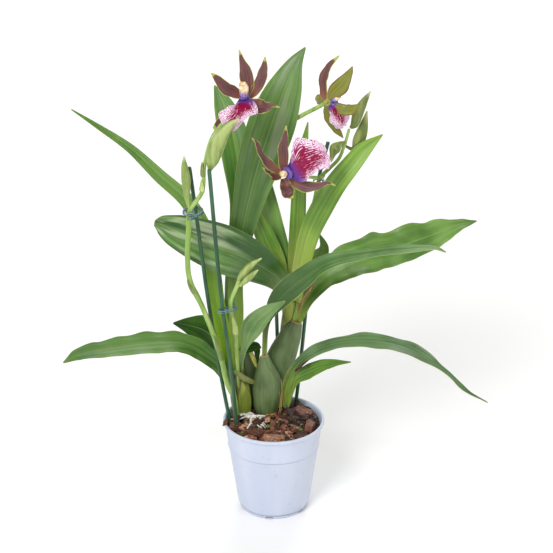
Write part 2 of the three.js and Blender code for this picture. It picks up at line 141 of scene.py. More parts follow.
def tint(code):
    """A colour written as on a web page, in the linear values that Blender works with."""
    parts = [int(code[place:place + 2], 16) / 255 for place in (1, 3, 5)]
    return tuple(p / 12.92 if p <= 0.04045 else ((p + 0.055) / 1.055) ** 2.4 for p in parts) + (1,)


def blend(share, one, other):
    """A colour between two, each a colour code or a wire."""
    one, other = (tint(c) if isinstance(c, str) else c for c in (one, other))
    return node("Mix", {0: share, 6: one, 7: other}, data_type="RGBA").outputs[2]


def lay(colour, other, value, low, high, share=1.0):
    """Lays another colour over one, more and more as a value goes from low to high."""
    cover = between(value, low, high)
    return blend(cover if share == 1 else times(cover, share), colour, other)


def in_space():
    return node("TexCoord").outputs["Object"]


def own_map():
    """The piece's own map: the place, across from 0 to 1, along from 0 to 1, and how near a side."""
    place = node("UVMap").outputs[0]
    split = node("SeparateXYZ", {0: place})
    side = calc("ABSOLUTE", minus(times(split.outputs[0], 2.0), 1.0))
    return place, split.outputs[0], split.outputs[1], side


def grain(place, scale, stretch=(1, 1, 1), detail=3.0, shift=(0, 0, 0)):
    """Soft noise, stretched along the chosen ways."""
    moved = node("Mapping", {"Vector": place, "Scale": stretch, "Location": shift})
    return node("TexNoise", {"Vector": moved.outputs[0], "Scale": scale, "Detail": detail}).outputs[0]


def lines_along(across, count, wide):
    """Thin lines along the piece, so many from side to side."""
    return between(calc("ABSOLUTE", calc("SINE", times(across, count * math.pi))), wide, 0.0)


def end_finish(finish, colour, roughness, relief):
    """roughness: a pattern, and what is smooth and rough; relief: a pattern, its strength and depth."""
    wire(colour, "Base Color")
    wire(node("MapRange", {0: roughness[0], 3: roughness[1], 4: roughness[2]}).outputs[0], "Roughness")
    bumps = node("Bump", {"Height": relief[0], "Strength": relief[1], "Distance": relief[2]})
    wire(bumps.outputs[0], "Normal")
    return finish


print("node helpers ready")

# %% [markdown]
# ## Floor and light
# The plant stands on a plain pale floor. Large soft panels on both sides and a bright sky keep
# the shadows faint, as in a photographer's tent. The panels light the floor only near the plant,
# so the floor glows a little further off and the sky is whiter low down: from the side, too, the
# background stays pale. Plain colour management is chosen, because the filmic kind would grey
# the pale floor and dull the greens.

# %% Lay the floor
floor_size = 30
glow_from, glow_to, glow_strength = 1.2, 4.0, 0.5
scene.view_settings.view_transform = "Standard"
bpy.ops.object.select_all(action="DESELECT")
bpy.ops.mesh.primitive_plane_add(size=floor_size, location=(0, 0, 0))
floor = bpy.context.object
floor.name = "floor"
floor.data.materials.append(start_finish(
    "floor_paint", 0.8, Base_Color=(0.94, 0.94, 0.945, 1), Specular_IOR_Level=0.1,
    Emission_Color=(1, 1, 1, 1)))
floor_reach = node("VectorMath", {0: in_space()}, operation="LENGTH").outputs["Value"]
floor_glow = node("MapRange", {0: floor_reach, 1: glow_from, 2: glow_to, 4: glow_strength})
wire(floor_glow.outputs[0], "Emission Strength")
print("floor laid")

# %% Hang the soft lights
sky_low, sky_high, sky_bright, sky_plain = 0.12, 0.25, 1.0, 0.55
sky = bpy.data.worlds.new("sky")
lay_on_bench(sky, "Background", Color=(1.0, 0.99, 0.97, 1))
sky_height = node("SeparateXYZ", {0: node("TexCoord").outputs["Generated"]}).outputs[2]
sky_strength = node("MapRange", {0: sky_height, 1: sky_low, 2: sky_high, 3: sky_bright, 4: sky_plain})
wire(sky_strength.outputs[0], "Strength")
scene.world = sky
panels = {
    "key_panel": ((-1.0, -2.0, 2.2), 1.1, 55),
    "fill_panel": ((1.9, -1.5, 1.5), 1.5, 7),
    "back_panel": ((0.3, 2.0, 2.2), 1.6, 30),
}
panel_aim = Vector((0, 0, 0.3))
for name, (place, size, power) in panels.items():
    turn = (panel_aim - Vector(place)).to_track_quat("-Z", "Y").to_euler()
    bpy.ops.object.select_all(action="DESELECT")
    bpy.ops.object.light_add(type="AREA", location=place, rotation=turn)
    panel = bpy.context.object
    panel.name = name
    panel.data.size = size
    panel.data.energy = power
print("lights:", len(panels))

# %% [markdown]
# ## Working in edit mode
# Each piece starts from a primitive. These helpers name it, select one piece alone, choose some
# of its vertices by their place, and apply a modifier as soon as it is added, so that a finished
# piece is a plain mesh.

# %% Selecting, naming and applying
def only(piece=None):
    """Goes to object mode and selects this piece alone, or nothing."""
    active = bpy.context.view_layer.objects.active
    if active and active.mode != "OBJECT":
        bpy.ops.object.mode_set(mode="OBJECT")
    bpy.ops.object.select_all(action="DESELECT")
    if piece:
        piece.select_set(True)
        bpy.context.view_layer.objects.active = piece


def named(name, piece=None):
    """Names a piece and its mesh; without a piece, the one that was just added."""
    piece = piece or bpy.context.object
    piece.name = name
    piece.data.name = name
    return piece


def edit(piece):
    """Goes to edit mode with everything selected."""
    only(piece)
    bpy.ops.object.mode_set(mode="EDIT")
    bpy.ops.mesh.select_mode(type="VERT")
    bpy.ops.mesh.select_all(action="SELECT")


def pick(piece, chosen):
    """In edit mode, selects the vertices that pass a test, and what lies between them."""
    mesh = bmesh.from_edit_mesh(piece.data)
    for vertex in mesh.verts:
        vertex.select_set(False)
    for vertex in mesh.verts:
        if chosen(vertex):
            vertex.select_set(True)
    mesh.select_flush(True)
    bmesh.update_edit_mesh(piece.data)


def apply_modifier(piece, kind, **settings):
    only(piece)
    bpy.ops.object.modifier_add(type=kind)
    modifier = piece.modifiers[-1]
    for key, value in settings.items():
        setattr(modifier, key, value)
    bpy.ops.object.modifier_apply(modifier=modifier.name)


def smooth_more(piece):
    """One round of subdivision."""
    apply_modifier(piece, "SUBSURF", levels=1, render_levels=1)


print("editing helpers ready")

# %% Joining pieces and setting them in place
def join_into_one(name, parts):
    """Joins some pieces, each of which keeps its own finish."""
    only(parts[0])
    for part in parts:
        part.select_set(True)
    bpy.ops.object.join()
    return named(name)


def set_in_place(piece, slot, *nodes, crease=50):
    """Lets a piece ride on the plant; edges that turn by more than the crease, in degrees, stay sharp."""
    only(piece)
    bpy.ops.object.shade_smooth_by_angle(angle=math.radians(crease))
    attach(piece, "root")
    if nodes:
        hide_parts(*nodes)


def give(piece, finish, slot, *nodes, crease=50):
    """Paints a piece of one finish, and sets it in place."""
    piece.data.materials.append(finish)
    set_in_place(piece, slot, *nodes, crease=crease)


print("pieces can be set in place")

# %% [markdown]
# ## Routes
# Leaves, stalks and bulbs all grow along a line. A route is a short list of places that the
# line passes, in millimetres, and a smooth curve runs through them. The piece is first made
# straight and flat, where it is easy to shape, and then laid along its route. The Curve
# modifier could do that, but it turns a blade over where the route stands upright, so the
# rows are set on the route here, with the way that the upper face looks given at both ends.

# %% Smooth curves through a few points
def metres(points):
    return [Vector(point) * MM for point in points]


def smooth_step(here, there, leave, arrive, share):
    """Between two values or places, left and reached at the given slopes."""
    square, cube = share * share, share ** 3
    return (
        here * (2 * cube - 3 * square + 1) + leave * (cube - 2 * square + share)
        + there * (3 * square - 2 * cube) + arrive * (cube - square)
    )


def point_on(route, t):
    """The place on a smooth curve through the route's points, for t from 0 to 1."""
    last = len(route) - 1
    start = min(int(t * last), last - 1)
    here, there = route[start], route[start + 1]
    before = route[start - 1] if start > 0 else 2 * here - there
    after = route[start + 2] if start + 2 <= last else 2 * there - here
    pairs = ((before, here), (here, there), (there, after))
    first, step, last_step = [max((b - a).length, 1e-6) ** 0.5 for a, b in pairs]
    leave = (here - before) / first - (there - before) / (first + step) + (there - here) / step
    arrive = (there - here) / step - (after - here) / (step + last_step) + (after - there) / last_step
    return smooth_step(here, there, leave * step, arrive * step, t * last - start)


def value_on(values, t):
    """A size along the route: one value for each of its points, smoothed in between."""
    last = len(values) - 1
    start = min(int(t * last), last - 1)
    here, there = values[start], values[start + 1]
    before = values[start - 1] if start > 0 else here
    after = values[start + 2] if start + 2 <= last else there
    arrive = there - here if start + 1 == last else (after - here) / 2
    smooth = smooth_step(here, there, (there - before) / 2, arrive, t * last - start)
    return max(smooth, min(here, there) * 0.9)


def route_length(route):
    places = [point_on(route, i / 60) for i in range(61)]
    return sum((b - a).length for a, b in zip(places, places[1:]))


def ease(value, low, high):
    """0 below low, 1 above high, and smooth between them."""
    share = min(max((value - low) / (high - low), 0), 1)
    return share * share * (3 - 2 * share)


print("one metre of straight route:", round(route_length(metres([(0, 0, 0), (0, 0, 1000)])), 4))

# %% Laying a straight piece along its route
def square_to(up, along):
    """The part of up that is at right angles to along."""
    return (up - along * up.dot(along)).normalized()


def lay_along(piece, route, faces):
    """The piece runs along Y from 0 to 1, X across it, and Z out of its upper face."""
    only()
    frames = {}
    for vertex in piece.data.vertices:
        t = round(min(max(vertex.co.y, 0), 1), 5)
        if t not in frames:
            along = (point_on(route, min(t + 0.002, 1)) - point_on(route, max(t - 0.002, 0))).normalized()
            up = square_to(Vector(faces[0]).lerp(Vector(faces[1]), t), along)
            frames[t] = (point_on(route, t), along.cross(up), up)
        place, across, up = frames[t]
        vertex.co = place + across * vertex.co.x + up * vertex.co.z
    piece.data.update()


def set_rows(piece, stations, size_at):
    """In edit mode, moves each row of a straight piece to its station and scales it there."""
    last = len(stations) - 1
    mesh = bmesh.from_edit_mesh(piece.data)
    rows = [[] for _ in stations]
    for vertex in mesh.verts:
        rows[round(vertex.co.y * last)].append(vertex.index)
    for number in reversed(range(last + 1)):
        mesh = bmesh.from_edit_mesh(piece.data)
        mesh.verts.ensure_lookup_table()
        for vertex in mesh.verts:
            vertex.select_set(False)
        for index in rows[number]:
            mesh.verts[index].select_set(True)
        bmesh.update_edit_mesh(piece.data)
        wide, high = size_at(stations[number])
        start = number / last
        bpy.ops.transform.resize(value=(wide, 1, high), center_override=(0, start, 0))
        bpy.ops.transform.translate(value=(0, stations[number] - start, 0))


print("pieces can be laid along routes")

# %% [markdown]
# ## Finishes
# Nothing on a plant is one flat colour. Each finish is made of patterns: veins that follow the
# blade's own map, streaks, soft pale patches, partly painted sheen, and a fine bump.
#
# ### Leaf green
# An orchid leaf of this kind is pleated: long parallel veins run from its base to its tip.
# Close up there are dozens of them, and further off they show as broad lighter and darker
# streaks. The finish draws both from the blade's own map, so that they bend with the leaf.
# The underside is paler and duller, and the base of a leaf, where it grows, is yellower.

# %% The leaf finishes
def leaf_finish(name, deep, bright, base, rough=0.36, base_reach=0.22, seed=0.0, sheen_and_blotches=None,
                shaded=None, edge="#9aa650", edge_from=0.97, striped=0.5, shine=0.5):
    """shaded: the colour near the leaf's base, where others keep the light from it, and how far."""
    finish = start_finish(name, rough, Subsurface_Weight=0.1, Subsurface_Scale=0.003,
                          Specular_IOR_Level=shine)
    place, across, along, side = own_map()
    streaks = grain(place, 1.0, (7, 0.7, 1), 2.0, (seed, seed, 0))
    fine = grain(place, 1.0, (46, 1.3, 1), 2.0, (seed, 0, 0))
    clouds = grain(in_space(), 16.0, shift=(seed, 0, 0))
    mixed = plus(times(clouds, 1.0 - striped), times(streaks, striped))
    colour = lay(deep, bright, mixed, 0.4, 0.6)
    colour = lay(colour, deep, fine, 0.42, 0.66, 0.3)
    veins = times(lines_along(across, 8, 0.16), 0.2 + 0.5 * striped)
    colour = blend(veins, colour, deep)
    # Painted sheen and pale patches: soft greyish-pale patches laid over the green.
    if sheen_and_blotches:
        colour = blend(sheen_and_blotch_places(side, along, *sheen_and_blotches[1:]), colour, sheen_and_blotches[0])
    if shaded:
        colour = lay(colour, shaded[0], along, shaded[1], shaded[1] / 2, 0.8)
    colour = lay(colour, base, along, base_reach, 0.0, 0.85)
    colour = lay(colour, "#a3b977", side, 0.03, 0.0, 0.4)
    colour = lay(colour, edge, side, edge_from, 1.0, 0.7)
    colour = lay(colour, "#a58a55", along, 0.985, 1.0)
    relief = minus(plus(fine, streaks), veins)
    return end_finish(finish, colour, (clouds, rough - 0.1, rough + 0.12), (relief, 0.4, 0.0007))


def sheen_and_blotch_places(side, along, low, high, amount, lanes):
    """Long soft patches, from one share of the leaf's length to another: partly pale patches of the leaf,
    partly painted sheen.
    """
    patches = grain(node("UVMap").outputs[0], 1.0, (lanes, 2.4, 1), 3.0, (2.7, 1.1, 0))
    inside = times(between(along, low, low + 0.15), between(along, high, high - 0.15))
    inside = times(inside, between(side, 1.0, 0.75))
    return times(times(between(patches, 0.48, 0.64), inside), amount)


def under_leaf_finish(name, colour, dark):
    finish = start_finish(name, 0.6, Subsurface_Weight=0.12, Subsurface_Scale=0.003)
    place, _, _, side = own_map()
    streaks = grain(place, 1.0, (26, 1.2, 1))
    green = lay(dark, colour, streaks, 0.35, 0.65)
    green = lay(green, "#b4cd8a", side, 0.06, 0.0)
    return end_finish(finish, green, (streaks, 0.52, 0.68), (streaks, 0.4, 0.0006))


leaf_green = leaf_finish("leaf_green", "#426c1e", "#6e9741", "#8fa848", striped=0.28)
# Its soft patches are painted sheen, greyish on the upper blade.
leaf_tall_green = leaf_finish("leaf_tall_green", "#3b661b", "#648c3c", "#8fae3c", base_reach=0.45, seed=1.4,
                              sheen_and_blotches=("#97a389", 0.5, 1.05, 0.42, 3.0), shaded=("#2a4b12", 0.7),
                              striped=0.6)
# Its soft patches are painted sheen, as greyish streaks.
leaf_tall_pale = leaf_finish("leaf_tall_pale", "#3f7029", "#678f3c", "#8fa840", seed=5.2,
                             sheen_and_blotches=("#7f9c70", 0.6, 1.05, 0.3, 2.5))
# Darkest green, for the leaf at the back of the left shoot and the lobe: partly the leaf's own dark green,
# partly painted shade.
leaf_deep_shaded = leaf_finish("leaf_deep_shaded", "#1a390a", "#2f5613", "#4f7028", 0.5, seed=3.1, shine=0.12)
leaf_narrow = leaf_finish("leaf_narrow", "#41692a", "#6d9344", "#7fa81a", base_reach=0.5, seed=2.4,
                          shine=0.15)
leaf_bright = leaf_finish("leaf_bright", "#517c1b", "#7fa63a", "#b0bd5a", 0.34, 0.4, seed=5.7)
leaf_grey = leaf_finish("leaf_grey", "#4b7335", "#7b9a5f", "#8fa556", 0.32, seed=7.3, edge="#b3b878",
                        striped=0.35)
leaf_long = leaf_finish("leaf_long", "#476e35", "#6f9157", "#8c9f55", 0.3, 0.15, 6.1, edge="#b9c48c",
                        shaded=("#2c4f1e", 0.56), edge_from=0.95, striped=0.35)
leaf_mid = leaf_finish("leaf_mid", "#3d6a1c", "#6b943a", "#879f45", 0.3, 0.4, seed=4.4, striped=0.6)
leaf_low = leaf_finish("leaf_low", "#33601c", "#588034", "#8fa848", seed=6.6, striped=0.4)
leaf_droop = leaf_finish("leaf_droop", "#395d2b", "#5f8150", "#a2b452", 0.34, 0.3, 9.3, edge="#a39a5c",
                         edge_from=0.94, striped=0.3)
# Its soft patches are partly pale patches of the leaf and partly painted sheen.
leaf_blotched_sheen = leaf_finish("leaf_blotched_sheen", "#27511a", "#6b9549", "#8fa653", 0.24, seed=8.2,
                            sheen_and_blotches=("#b7c6a0", 0.25, 1.0, 0.6, 5.0), shaded=("#264f10", 0.5), striped=0.75)
leaf_under = under_leaf_finish("leaf_under", "#84a25a", "#5f8239")
print("finishes so far:", len(bpy.data.materials))

# %% [markdown]
# ### Petals, lip and column
# The sepals and petals are brown and wine red inside, with a thin yellow-green edge and tip,
# and olive outside. The lip is the showy one: white, with wine-red veins that fan out from its
# base, run together in the middle and break up into specks near the edge.

# %% The flower finishes
def tepal_finish(name, middle, dark, base, edge, tip_from=0.86, margin=0.98):
    """margin: how near the side, and tip_from: how far along, the colour of the edge begins."""
    finish = start_finish(name, 0.5, Subsurface_Weight=0.1, Subsurface_Scale=0.002)
    place, _, along, side = own_map()
    veins = grain(place, 1.0, (22, 1.4, 1), 2.0)
    wobble = grain(place, 1.0, (3, 9, 1), 2.0)
    colour = lay(dark, middle, veins, 0.35, 0.65)
    colour = lay(colour, base, along, 0.45, 0.05, 0.6)
    colour = lay(colour, edge, plus(side, times(wobble, 0.2)), margin, margin + 0.08)
    colour = lay(colour, edge, along, tip_from, tip_from + 0.06)
    colour = lay(colour, "#a9a45c", along, 0.06, 0.0)
    return end_finish(finish, colour, (veins, 0.42, 0.58), (veins, 0.35, 0.0005))


def lip_finish(name, rim, power, violet):
    """rim: how far the white comes in from the sides, which a low power carries to the middle;
    violet: how far the violet of the base reaches."""
    finish = start_finish(name, 0.5, Subsurface_Weight=0.05, Subsurface_Scale=0.001, Specular_IOR_Level=0.2)
    place, across, along, side = own_map()
    warp = grain(place, 1.0, (4, 3, 1), 2.0)
    lines = calc("SINE", plus(times(across, 132.0), times(warp, 10.0)))
    breaks = grain(place, 1.0, (34, 7, 1), 2.0, (1.3, 0.4, 0))
    specks = grain(place, 1.0, (44, 32, 1), 2.0)
    streaks = plus(lines, times(minus(breaks, 0.5), 6.0))
    dots = times(minus(specks, 0.5), 9.0)
    reach = plus(times(calc("POWER", side, power), rim), times(along, 0.85))
    outer = between(reach, 0.6, 0.95)
    pattern = node("Mix", {0: outer, 2: streaks, 3: dots}).outputs[0]
    limit = node("MapRange", {0: reach, 1: 0.3, 2: 0.95, 3: 1.9, 4: -0.3}).outputs[0]
    wine = blend(outer, "#84003a", "#a33a74")
    white = blend(outer, "#f0cadf", "#eedcec")
    colour = lay(wine, white, minus(pattern, limit), -0.3, 0.3)
    colour = lay(colour, "#5c3a8c", along, violet, violet / 3)
    return end_finish(finish, colour, (specks, 0.38, 0.55), (pattern, 0.35, 0.0003))


def column_finish(name):
    """Cream at its end, and violet in fine stripes towards its foot."""
    finish = start_finish(name, 0.45, Subsurface_Weight=0.12, Subsurface_Scale=0.002)
    _, across, along, _ = own_map()
    patches = grain(in_space(), 300.0)
    cream = lay("#f0e3bf", "#dcb48a", patches, 0.35, 0.65)
    striped = lay("#5a3a94", "#c9b2d6", calc("SINE", times(across, 100.0)), -0.3, 0.3)
    colour = lay(cream, striped, along, 0.8, 0.72)
    colour = lay(colour, "#5f429b", along, 0.66, 0.58)
    return end_finish(finish, colour, (patches, 0.38, 0.52), (patches, 0.3, 0.0004))


def soft_finish(name, one, other, scale, rough, stretch=(1, 1, 1), depth=0.0004, spots=None):
    """Two colours that pass into each other in soft patches, for small smooth parts."""
    finish = start_finish(name, rough, Subsurface_Weight=0.1, Subsurface_Scale=0.002)
    patches = grain(in_space(), scale, stretch)
    colour = lay(one, other, patches, 0.38, 0.62)
    if spots:
        places = grain(in_space(), scale * 0.7, stretch, 2.0, (3.3, 1.2, 0))
        colour = lay(colour, spots, places, 0.5, 0.62, 0.75)
    return end_finish(finish, colour, (patches, rough - 0.06, rough + 0.08), (patches, 0.3, depth))


tepal_inside = tepal_finish("tepal_inside", "#734744", "#4a2a2c", "#96583a", "#a9ad4e")
tepal_outside = tepal_finish("tepal_outside", "#82851f", "#60661c", "#7a6f28", "#6f4d36", 0.94, 0.88)
lip_full = lip_finish("lip_full", 0.68, 1.9, 0.42)
lip_pale = lip_finish("lip_pale", 0.9, 1.4, 0.25)
column_striped = column_finish("column_striped")
column_cream = soft_finish("column_cream", "#ecdcb4", "#c99f72", 330, 0.5)
collar_violet = soft_finish("collar_violet", "#7256a6", "#4b3180", 420, 0.42, (1, 1, 0.3))
# Dark purple-brown of the throat: partly its own colour, partly painted shade of the hollow under the column.
throat_dark_shade = soft_finish("throat_dark_shade", "#3a1c33", "#58243f", 300, 0.5)
print("finishes so far:", len(bpy.data.materials))

# %% [markdown]
# ### Stalks, buds, bulbs and roots
# The stalks are smooth and light green, paler at their joints. The bulbs are dusty grey green
# with fine ribs from base to top. Roots are white and felt-like where they are dry.

# %% The finishes of stalks, buds, bulbs and roots
def bulb_finish(name, deep, bright, skin):
    """The ribs follow the bulb's own map, and a dry brown skin clings round its foot."""
    finish = start_finish(name, 0.5, Subsurface_Weight=0.06, Subsurface_Scale=0.003)
    place, _, along, _ = own_map()
    ribs = grain(place, 1.0, (70, 1.2, 1))
    clouds = grain(in_space(), 60.0, (1, 1, 0.4), 4.0)
    colour = lay(deep, bright, clouds, 0.35, 0.65)
    colour = lay(colour, "#85926a", ribs, 0.45, 0.7, 0.3)
    colour = lay(colour, skin, plus(along, times(clouds, 0.06)), 0.575, 0.545)
    colour = lay(colour, "#b58a72", along, 0.975, 0.99)
    return end_finish(finish, colour, (clouds, 0.42, 0.62), (plus(ribs, clouds), 0.45, 0.0007))


def bud_finish(name, deep, bright, seam):
    """The edges of the three closed sepals run along the bud as darker seams."""
    finish = start_finish(name, 0.42, Subsurface_Weight=0.12, Subsurface_Scale=0.002)
    place, across, along, _ = own_map()
    clouds = grain(in_space(), 120.0, (1, 1, 0.2))
    ribs = grain(place, 1.0, (40, 1.2, 1), 2.0)
    colour = lay(deep, bright, clouds, 0.38, 0.62)
    colour = lay(colour, deep, ribs, 0.5, 0.7, 0.35)
    seams = times(lines_along(across, 3, 0.14), 0.8)
    colour = blend(seams, colour, seam)
    colour = lay(colour, "#c3c98a", along, 0.9, 0.99)
    return end_finish(finish, colour, (clouds, 0.36, 0.5), (minus(ribs, seams), 0.5, 0.0008))


bulb_green = bulb_finish("bulb_green", "#43562a", "#5f7547", "#8f7450")
bulb_old = bulb_finish("bulb_old", "#35421f", "#4c5c33", "#5a3d2a")
shoot_green = soft_finish("shoot_green", "#6c7d26", "#8f9c3a", 70, 0.46, (1, 1, 0.35), spots="#55402a")
sheath_green = soft_finish("sheath_green", "#5a7a30", "#7a9446", 130, 0.46, (1, 1, 0.3), spots="#76803f")
sheath_olive = soft_finish("sheath_olive", "#5f7430", "#7c8c48", 130, 0.5, (1, 1, 0.3), spots="#7f7c48")
stub_green = soft_finish("stub_green", "#93a936", "#b4bf55", 160, 0.42, (1, 1, 0.3), spots="#a07c48")
stalk_green = soft_finish("stalk_green", "#7fa046", "#a0bb68", 120, 0.4, (1, 1, 0.12))
bract_pale = soft_finish("bract_pale", "#98ad5c", "#b5bd7c", 200, 0.55, (1, 1, 0.15))
bud_green = bud_finish("bud_green", "#7b9145", "#a6b56e", "#5f7030")
bud_olive = bud_finish("bud_olive", "#5f702b", "#839148", "#475220")
knob_olive = soft_finish("knob_olive", "#7f8c3c", "#9aa656", 110, 0.45)
root_white = soft_finish("root_white", "#f4f2ee", "#cdc6bb", 500, 0.85)
dry_brown = soft_finish("dry_brown", "#30120e", "#4c231b", 260, 0.75, (1, 1, 0.2))
dry_tan = soft_finish("dry_tan", "#8c5f3a", "#b38a58", 260, 0.7, (1, 1, 0.2))
seam_olive = soft_finish("seam_olive", "#565c34", "#6b6540", 260, 0.6, (1, 1, 0.2))
moss_green = soft_finish("moss_green", "#46591f", "#768a36", 500, 0.8)
print("finishes so far:", len(bpy.data.materials))

# %% [markdown]
# ### Pot, bark, stakes and wire
# The pot is thin satin plastic of a very pale lilac, with faint flow marks. The stakes are
# steel in a dark green plastic coat. Bark is the roughest finish here: red-brown, layered,
# lighter on broken faces, and each chip differs, by a random value that its mesh carries.

# %% The finishes of the pot, the bark, the stakes and the wire
pot_height, ridge_drop, foot_height = 115, 32, 4


def pot_finish(name, lines):
    """lines: the heights, in mm, of the moulded steps, where a thin dark line of painted shade is laid."""
    finish = start_finish(name, 0.45, Subsurface_Weight=0.06, Subsurface_Scale=0.004, Specular_IOR_Level=0.25)
    flow = grain(in_space(), 22.0, (1, 1, 0.25))
    scuffs = grain(in_space(), 160.0, detail=5.0)
    colour = lay("#bec6da", "#c7cede", flow, 0.35, 0.7)
    colour = lay(colour, "#adb1c2", scuffs, 0.62, 0.72, 0.35)
    height = node("SeparateXYZ", {0: in_space()}).outputs[2]
    # Painted shade: a thin dark line along each moulded step.
    for line in lines:
        off = calc("ABSOLUTE", minus(height, line * MM))
        colour = lay(colour, "#8a90a3", off, 0.8 * MM, 0.2 * MM, 0.6)
    return end_finish(finish, colour, (scuffs, 0.33, 0.5), (scuffs, 0.12, 0.0003))


def bark_finish(name, dark, red, tan):
    """The tone of each chip is a value that its mesh carries, so that neighbours differ; on the scattered
    chips it also holds painted shade, darker to the right and back.
    """
    finish = start_finish(name, 0.6)
    place = in_space()
    tone = node("Attribute", attribute_name="tone").outputs["Fac"]
    layers = grain(place, 300.0, (1, 1, 3.5), 4.0)
    mixed = plus(tone, times(minus(layers, 0.5), 0.9))
    colour = lay(dark, red, mixed, 0.15, 0.5)
    colour = lay(colour, tan, mixed, 0.7, 1.0)
    colour = lay(colour, "#cdb9a8", grain(place, 520.0, detail=2.0), 0.66, 0.72, 0.7)
    return end_finish(finish, colour, (layers, 0.45, 0.8), (layers, 0.8, 0.0012))


pot_lilac = pot_finish("pot_lilac", (foot_height + 0.3, pot_height - ridge_drop - 0.4))
bark_red = bark_finish("bark_red", "#351b13", "#84503b", "#c79b7d")
bark_dark = bark_finish("bark_dark", "#20130e", "#432920", "#6f4c3a")
stake_green = soft_finish("stake_green", "#1c4729", "#2d5c3e", 180, 0.36, (1, 1, 0.1), 0.0005)
wire_blue = soft_finish("wire_blue", "#3f6272", "#6b8b97", 300, 0.34)
print("finishes in all:", len(bpy.data.materials))

# %% [markdown]
# ## Blades
# A leaf, sepal or petal starts as a grid. Its rows are scaled to the width that the blade has
# there, its halves are folded up from the middle vein, and its edges ripple. Solidify then
# gives it its thickness, one round of subdivision smooths it, and the faces that look down get
# the finish of the underside. Last it is laid along its route.

# %% Make a blade
leaf_lanes, leaf_rows = 12, 40


def blade(name, route, half, faces, upper, under, thick=0.8, lanes=leaf_lanes, rows=leaf_rows, **form):
    """half: half the width along the route, in mm, in one list, or in one list for each side."""
    left, right = half if isinstance(half[0], (list, tuple)) else (half, half)
    only()
    bpy.ops.mesh.primitive_grid_add(x_subdivisions=lanes, y_subdivisions=rows, size=2)
    piece = named(name)
    edit(piece)
    bpy.ops.transform.translate(value=(0, 1, 0))
    bpy.ops.transform.resize(value=(1, 0.5, 1), center_override=(0, 0, 0))
    stations = [i / rows for i in range(rows + 1)]
    set_rows(piece, stations, lambda t: ((value_on(left, t) + value_on(right, t)) * MM / 2, 1))
    only(piece)
    for vertex in piece.data.vertices:
        fold_blade(vertex, left, right, **form)
    apply_modifier(piece, "SOLIDIFY", thickness=thick * MM, offset=0)
    smooth_more(piece)
    piece.data.materials.append(upper)
    piece.data.materials.append(under)
    for face in piece.data.polygons:
        face.material_index = 1 if face.normal.z < 0 else 0
    lay_along(piece, metres(route), faces)
    return piece


def fold_blade(vertex, left, right, fold=(0.6, 0.15), ripple=0.0, waves=11, waver=0.0, ribs=0.35,
               frill=0.0, notch=0.0, seed=0.0):
    """Lifts the halves above the middle vein, pleats them, ripples the edges and frills the end."""
    t = vertex.co.y
    half_width = (value_on(left, t) + value_on(right, t)) * MM / 2
    side = vertex.co.x / half_width
    own_half = value_on(right if side > 0 else left, t) * MM
    turn = t * (waves + 3 * noise.noise((seed, 0, 0))) + (1.9 if side > 0 else 0) + seed
    middle = math.sin(math.pi * min(max(t, 0), 1))
    vertex.co.x = side * own_half * (1 + waver * middle * (math.sin(turn) + 0.5 * math.sin(1.7 * turn + 2)))
    steep = fold[0] + (fold[1] - fold[0]) * ease(t, 0.0, 0.35)
    pleats = ribs * MM * math.cos(side * 4 * math.pi) * middle
    wave = ripple * MM * side * side * math.sin(turn) * middle
    wave += 0.5 * ripple * MM * side * side * math.sin(2.3 * turn + seed) * middle
    rim = max(abs(side), ease(t, 0.55, 1.0)) ** 2
    wave += frill * MM * rim * math.sin(7 * side + 15 * t + seed)
    vertex.co.z += steep * (abs(vertex.co.x) - half_width / 2) + pleats + wave
    vertex.co.y -= notch * ease(t, 0.6, 1.0) * (1 - min(1, abs(side) * 2.2))


def plain_blade(name, finish, slot, route, half, faces, **form):
    """A small blade with one finish on both faces, set in place."""
    piece = blade(name, route, half, faces, finish, finish, **form)
    set_in_place(piece, slot)


print("blades can be made")

# %% [markdown]
# ## Tubes
# Stalks, bulbs, buds, stakes and roots start as a cylinder that lies along Y. Its long edges
# are subdivided into rows, each row is scaled to the thickness there, and the last rows are
# drawn close together, so that subdivision rounds the ends without making them pointed.

# %% Make a tube
to_the_front = (0, -1, 0.1)


def tube(name, route, radii, faces=(to_the_front, to_the_front), flat=1.0, sides=12, rows=24,
         ridges=(0, 0.0), joints=(), swell=0.18):
    """radii in mm at each of the route's points; ridges: how many run along it, and how deep;
    joints: where along the route it swells, and swell: by what share."""
    route = metres(route)
    only()
    bpy.ops.mesh.primitive_cylinder_add(vertices=sides, radius=1, depth=1, rotation=(-math.pi / 2, 0, 0))
    piece = named(name)
    bpy.ops.object.transform_apply(location=False, rotation=True, scale=False)
    edit(piece)
    bpy.ops.transform.translate(value=(0, 0.5, 0))
    split_long_edges(piece, rows + 1)
    length = route_length(route)
    ends = [min(value_on(radii, t) * MM * 0.35 / length, 0.4 / rows) for t in (0, 1)]
    stations = [0.0, ends[0]] + [i / rows for i in range(1, rows)] + [1 - ends[1], 1.0]
    swollen = {t for t in stations if any(abs(t - joint) < 0.5 / rows for joint in joints)}

    def size_at(t):
        radius = value_on(radii, t) * MM * (1 + swell * (t in swollen))
        radius *= 0.8 if t in (0.0, 1.0) else 1
        return radius, radius * flat

    set_rows(piece, stations, size_at)
    only(piece)
    count, depth = ridges
    for vertex in piece.data.vertices:
        angle = math.atan2(vertex.co.z / flat, vertex.co.x)
        widen = 1 + depth * math.cos(count * angle) * math.sin(math.pi * min(max(vertex.co.y, 0), 1))
        vertex.co.x *= widen
        vertex.co.z *= widen
    smooth_more(piece)
    lay_along(piece, route, faces)
    return piece


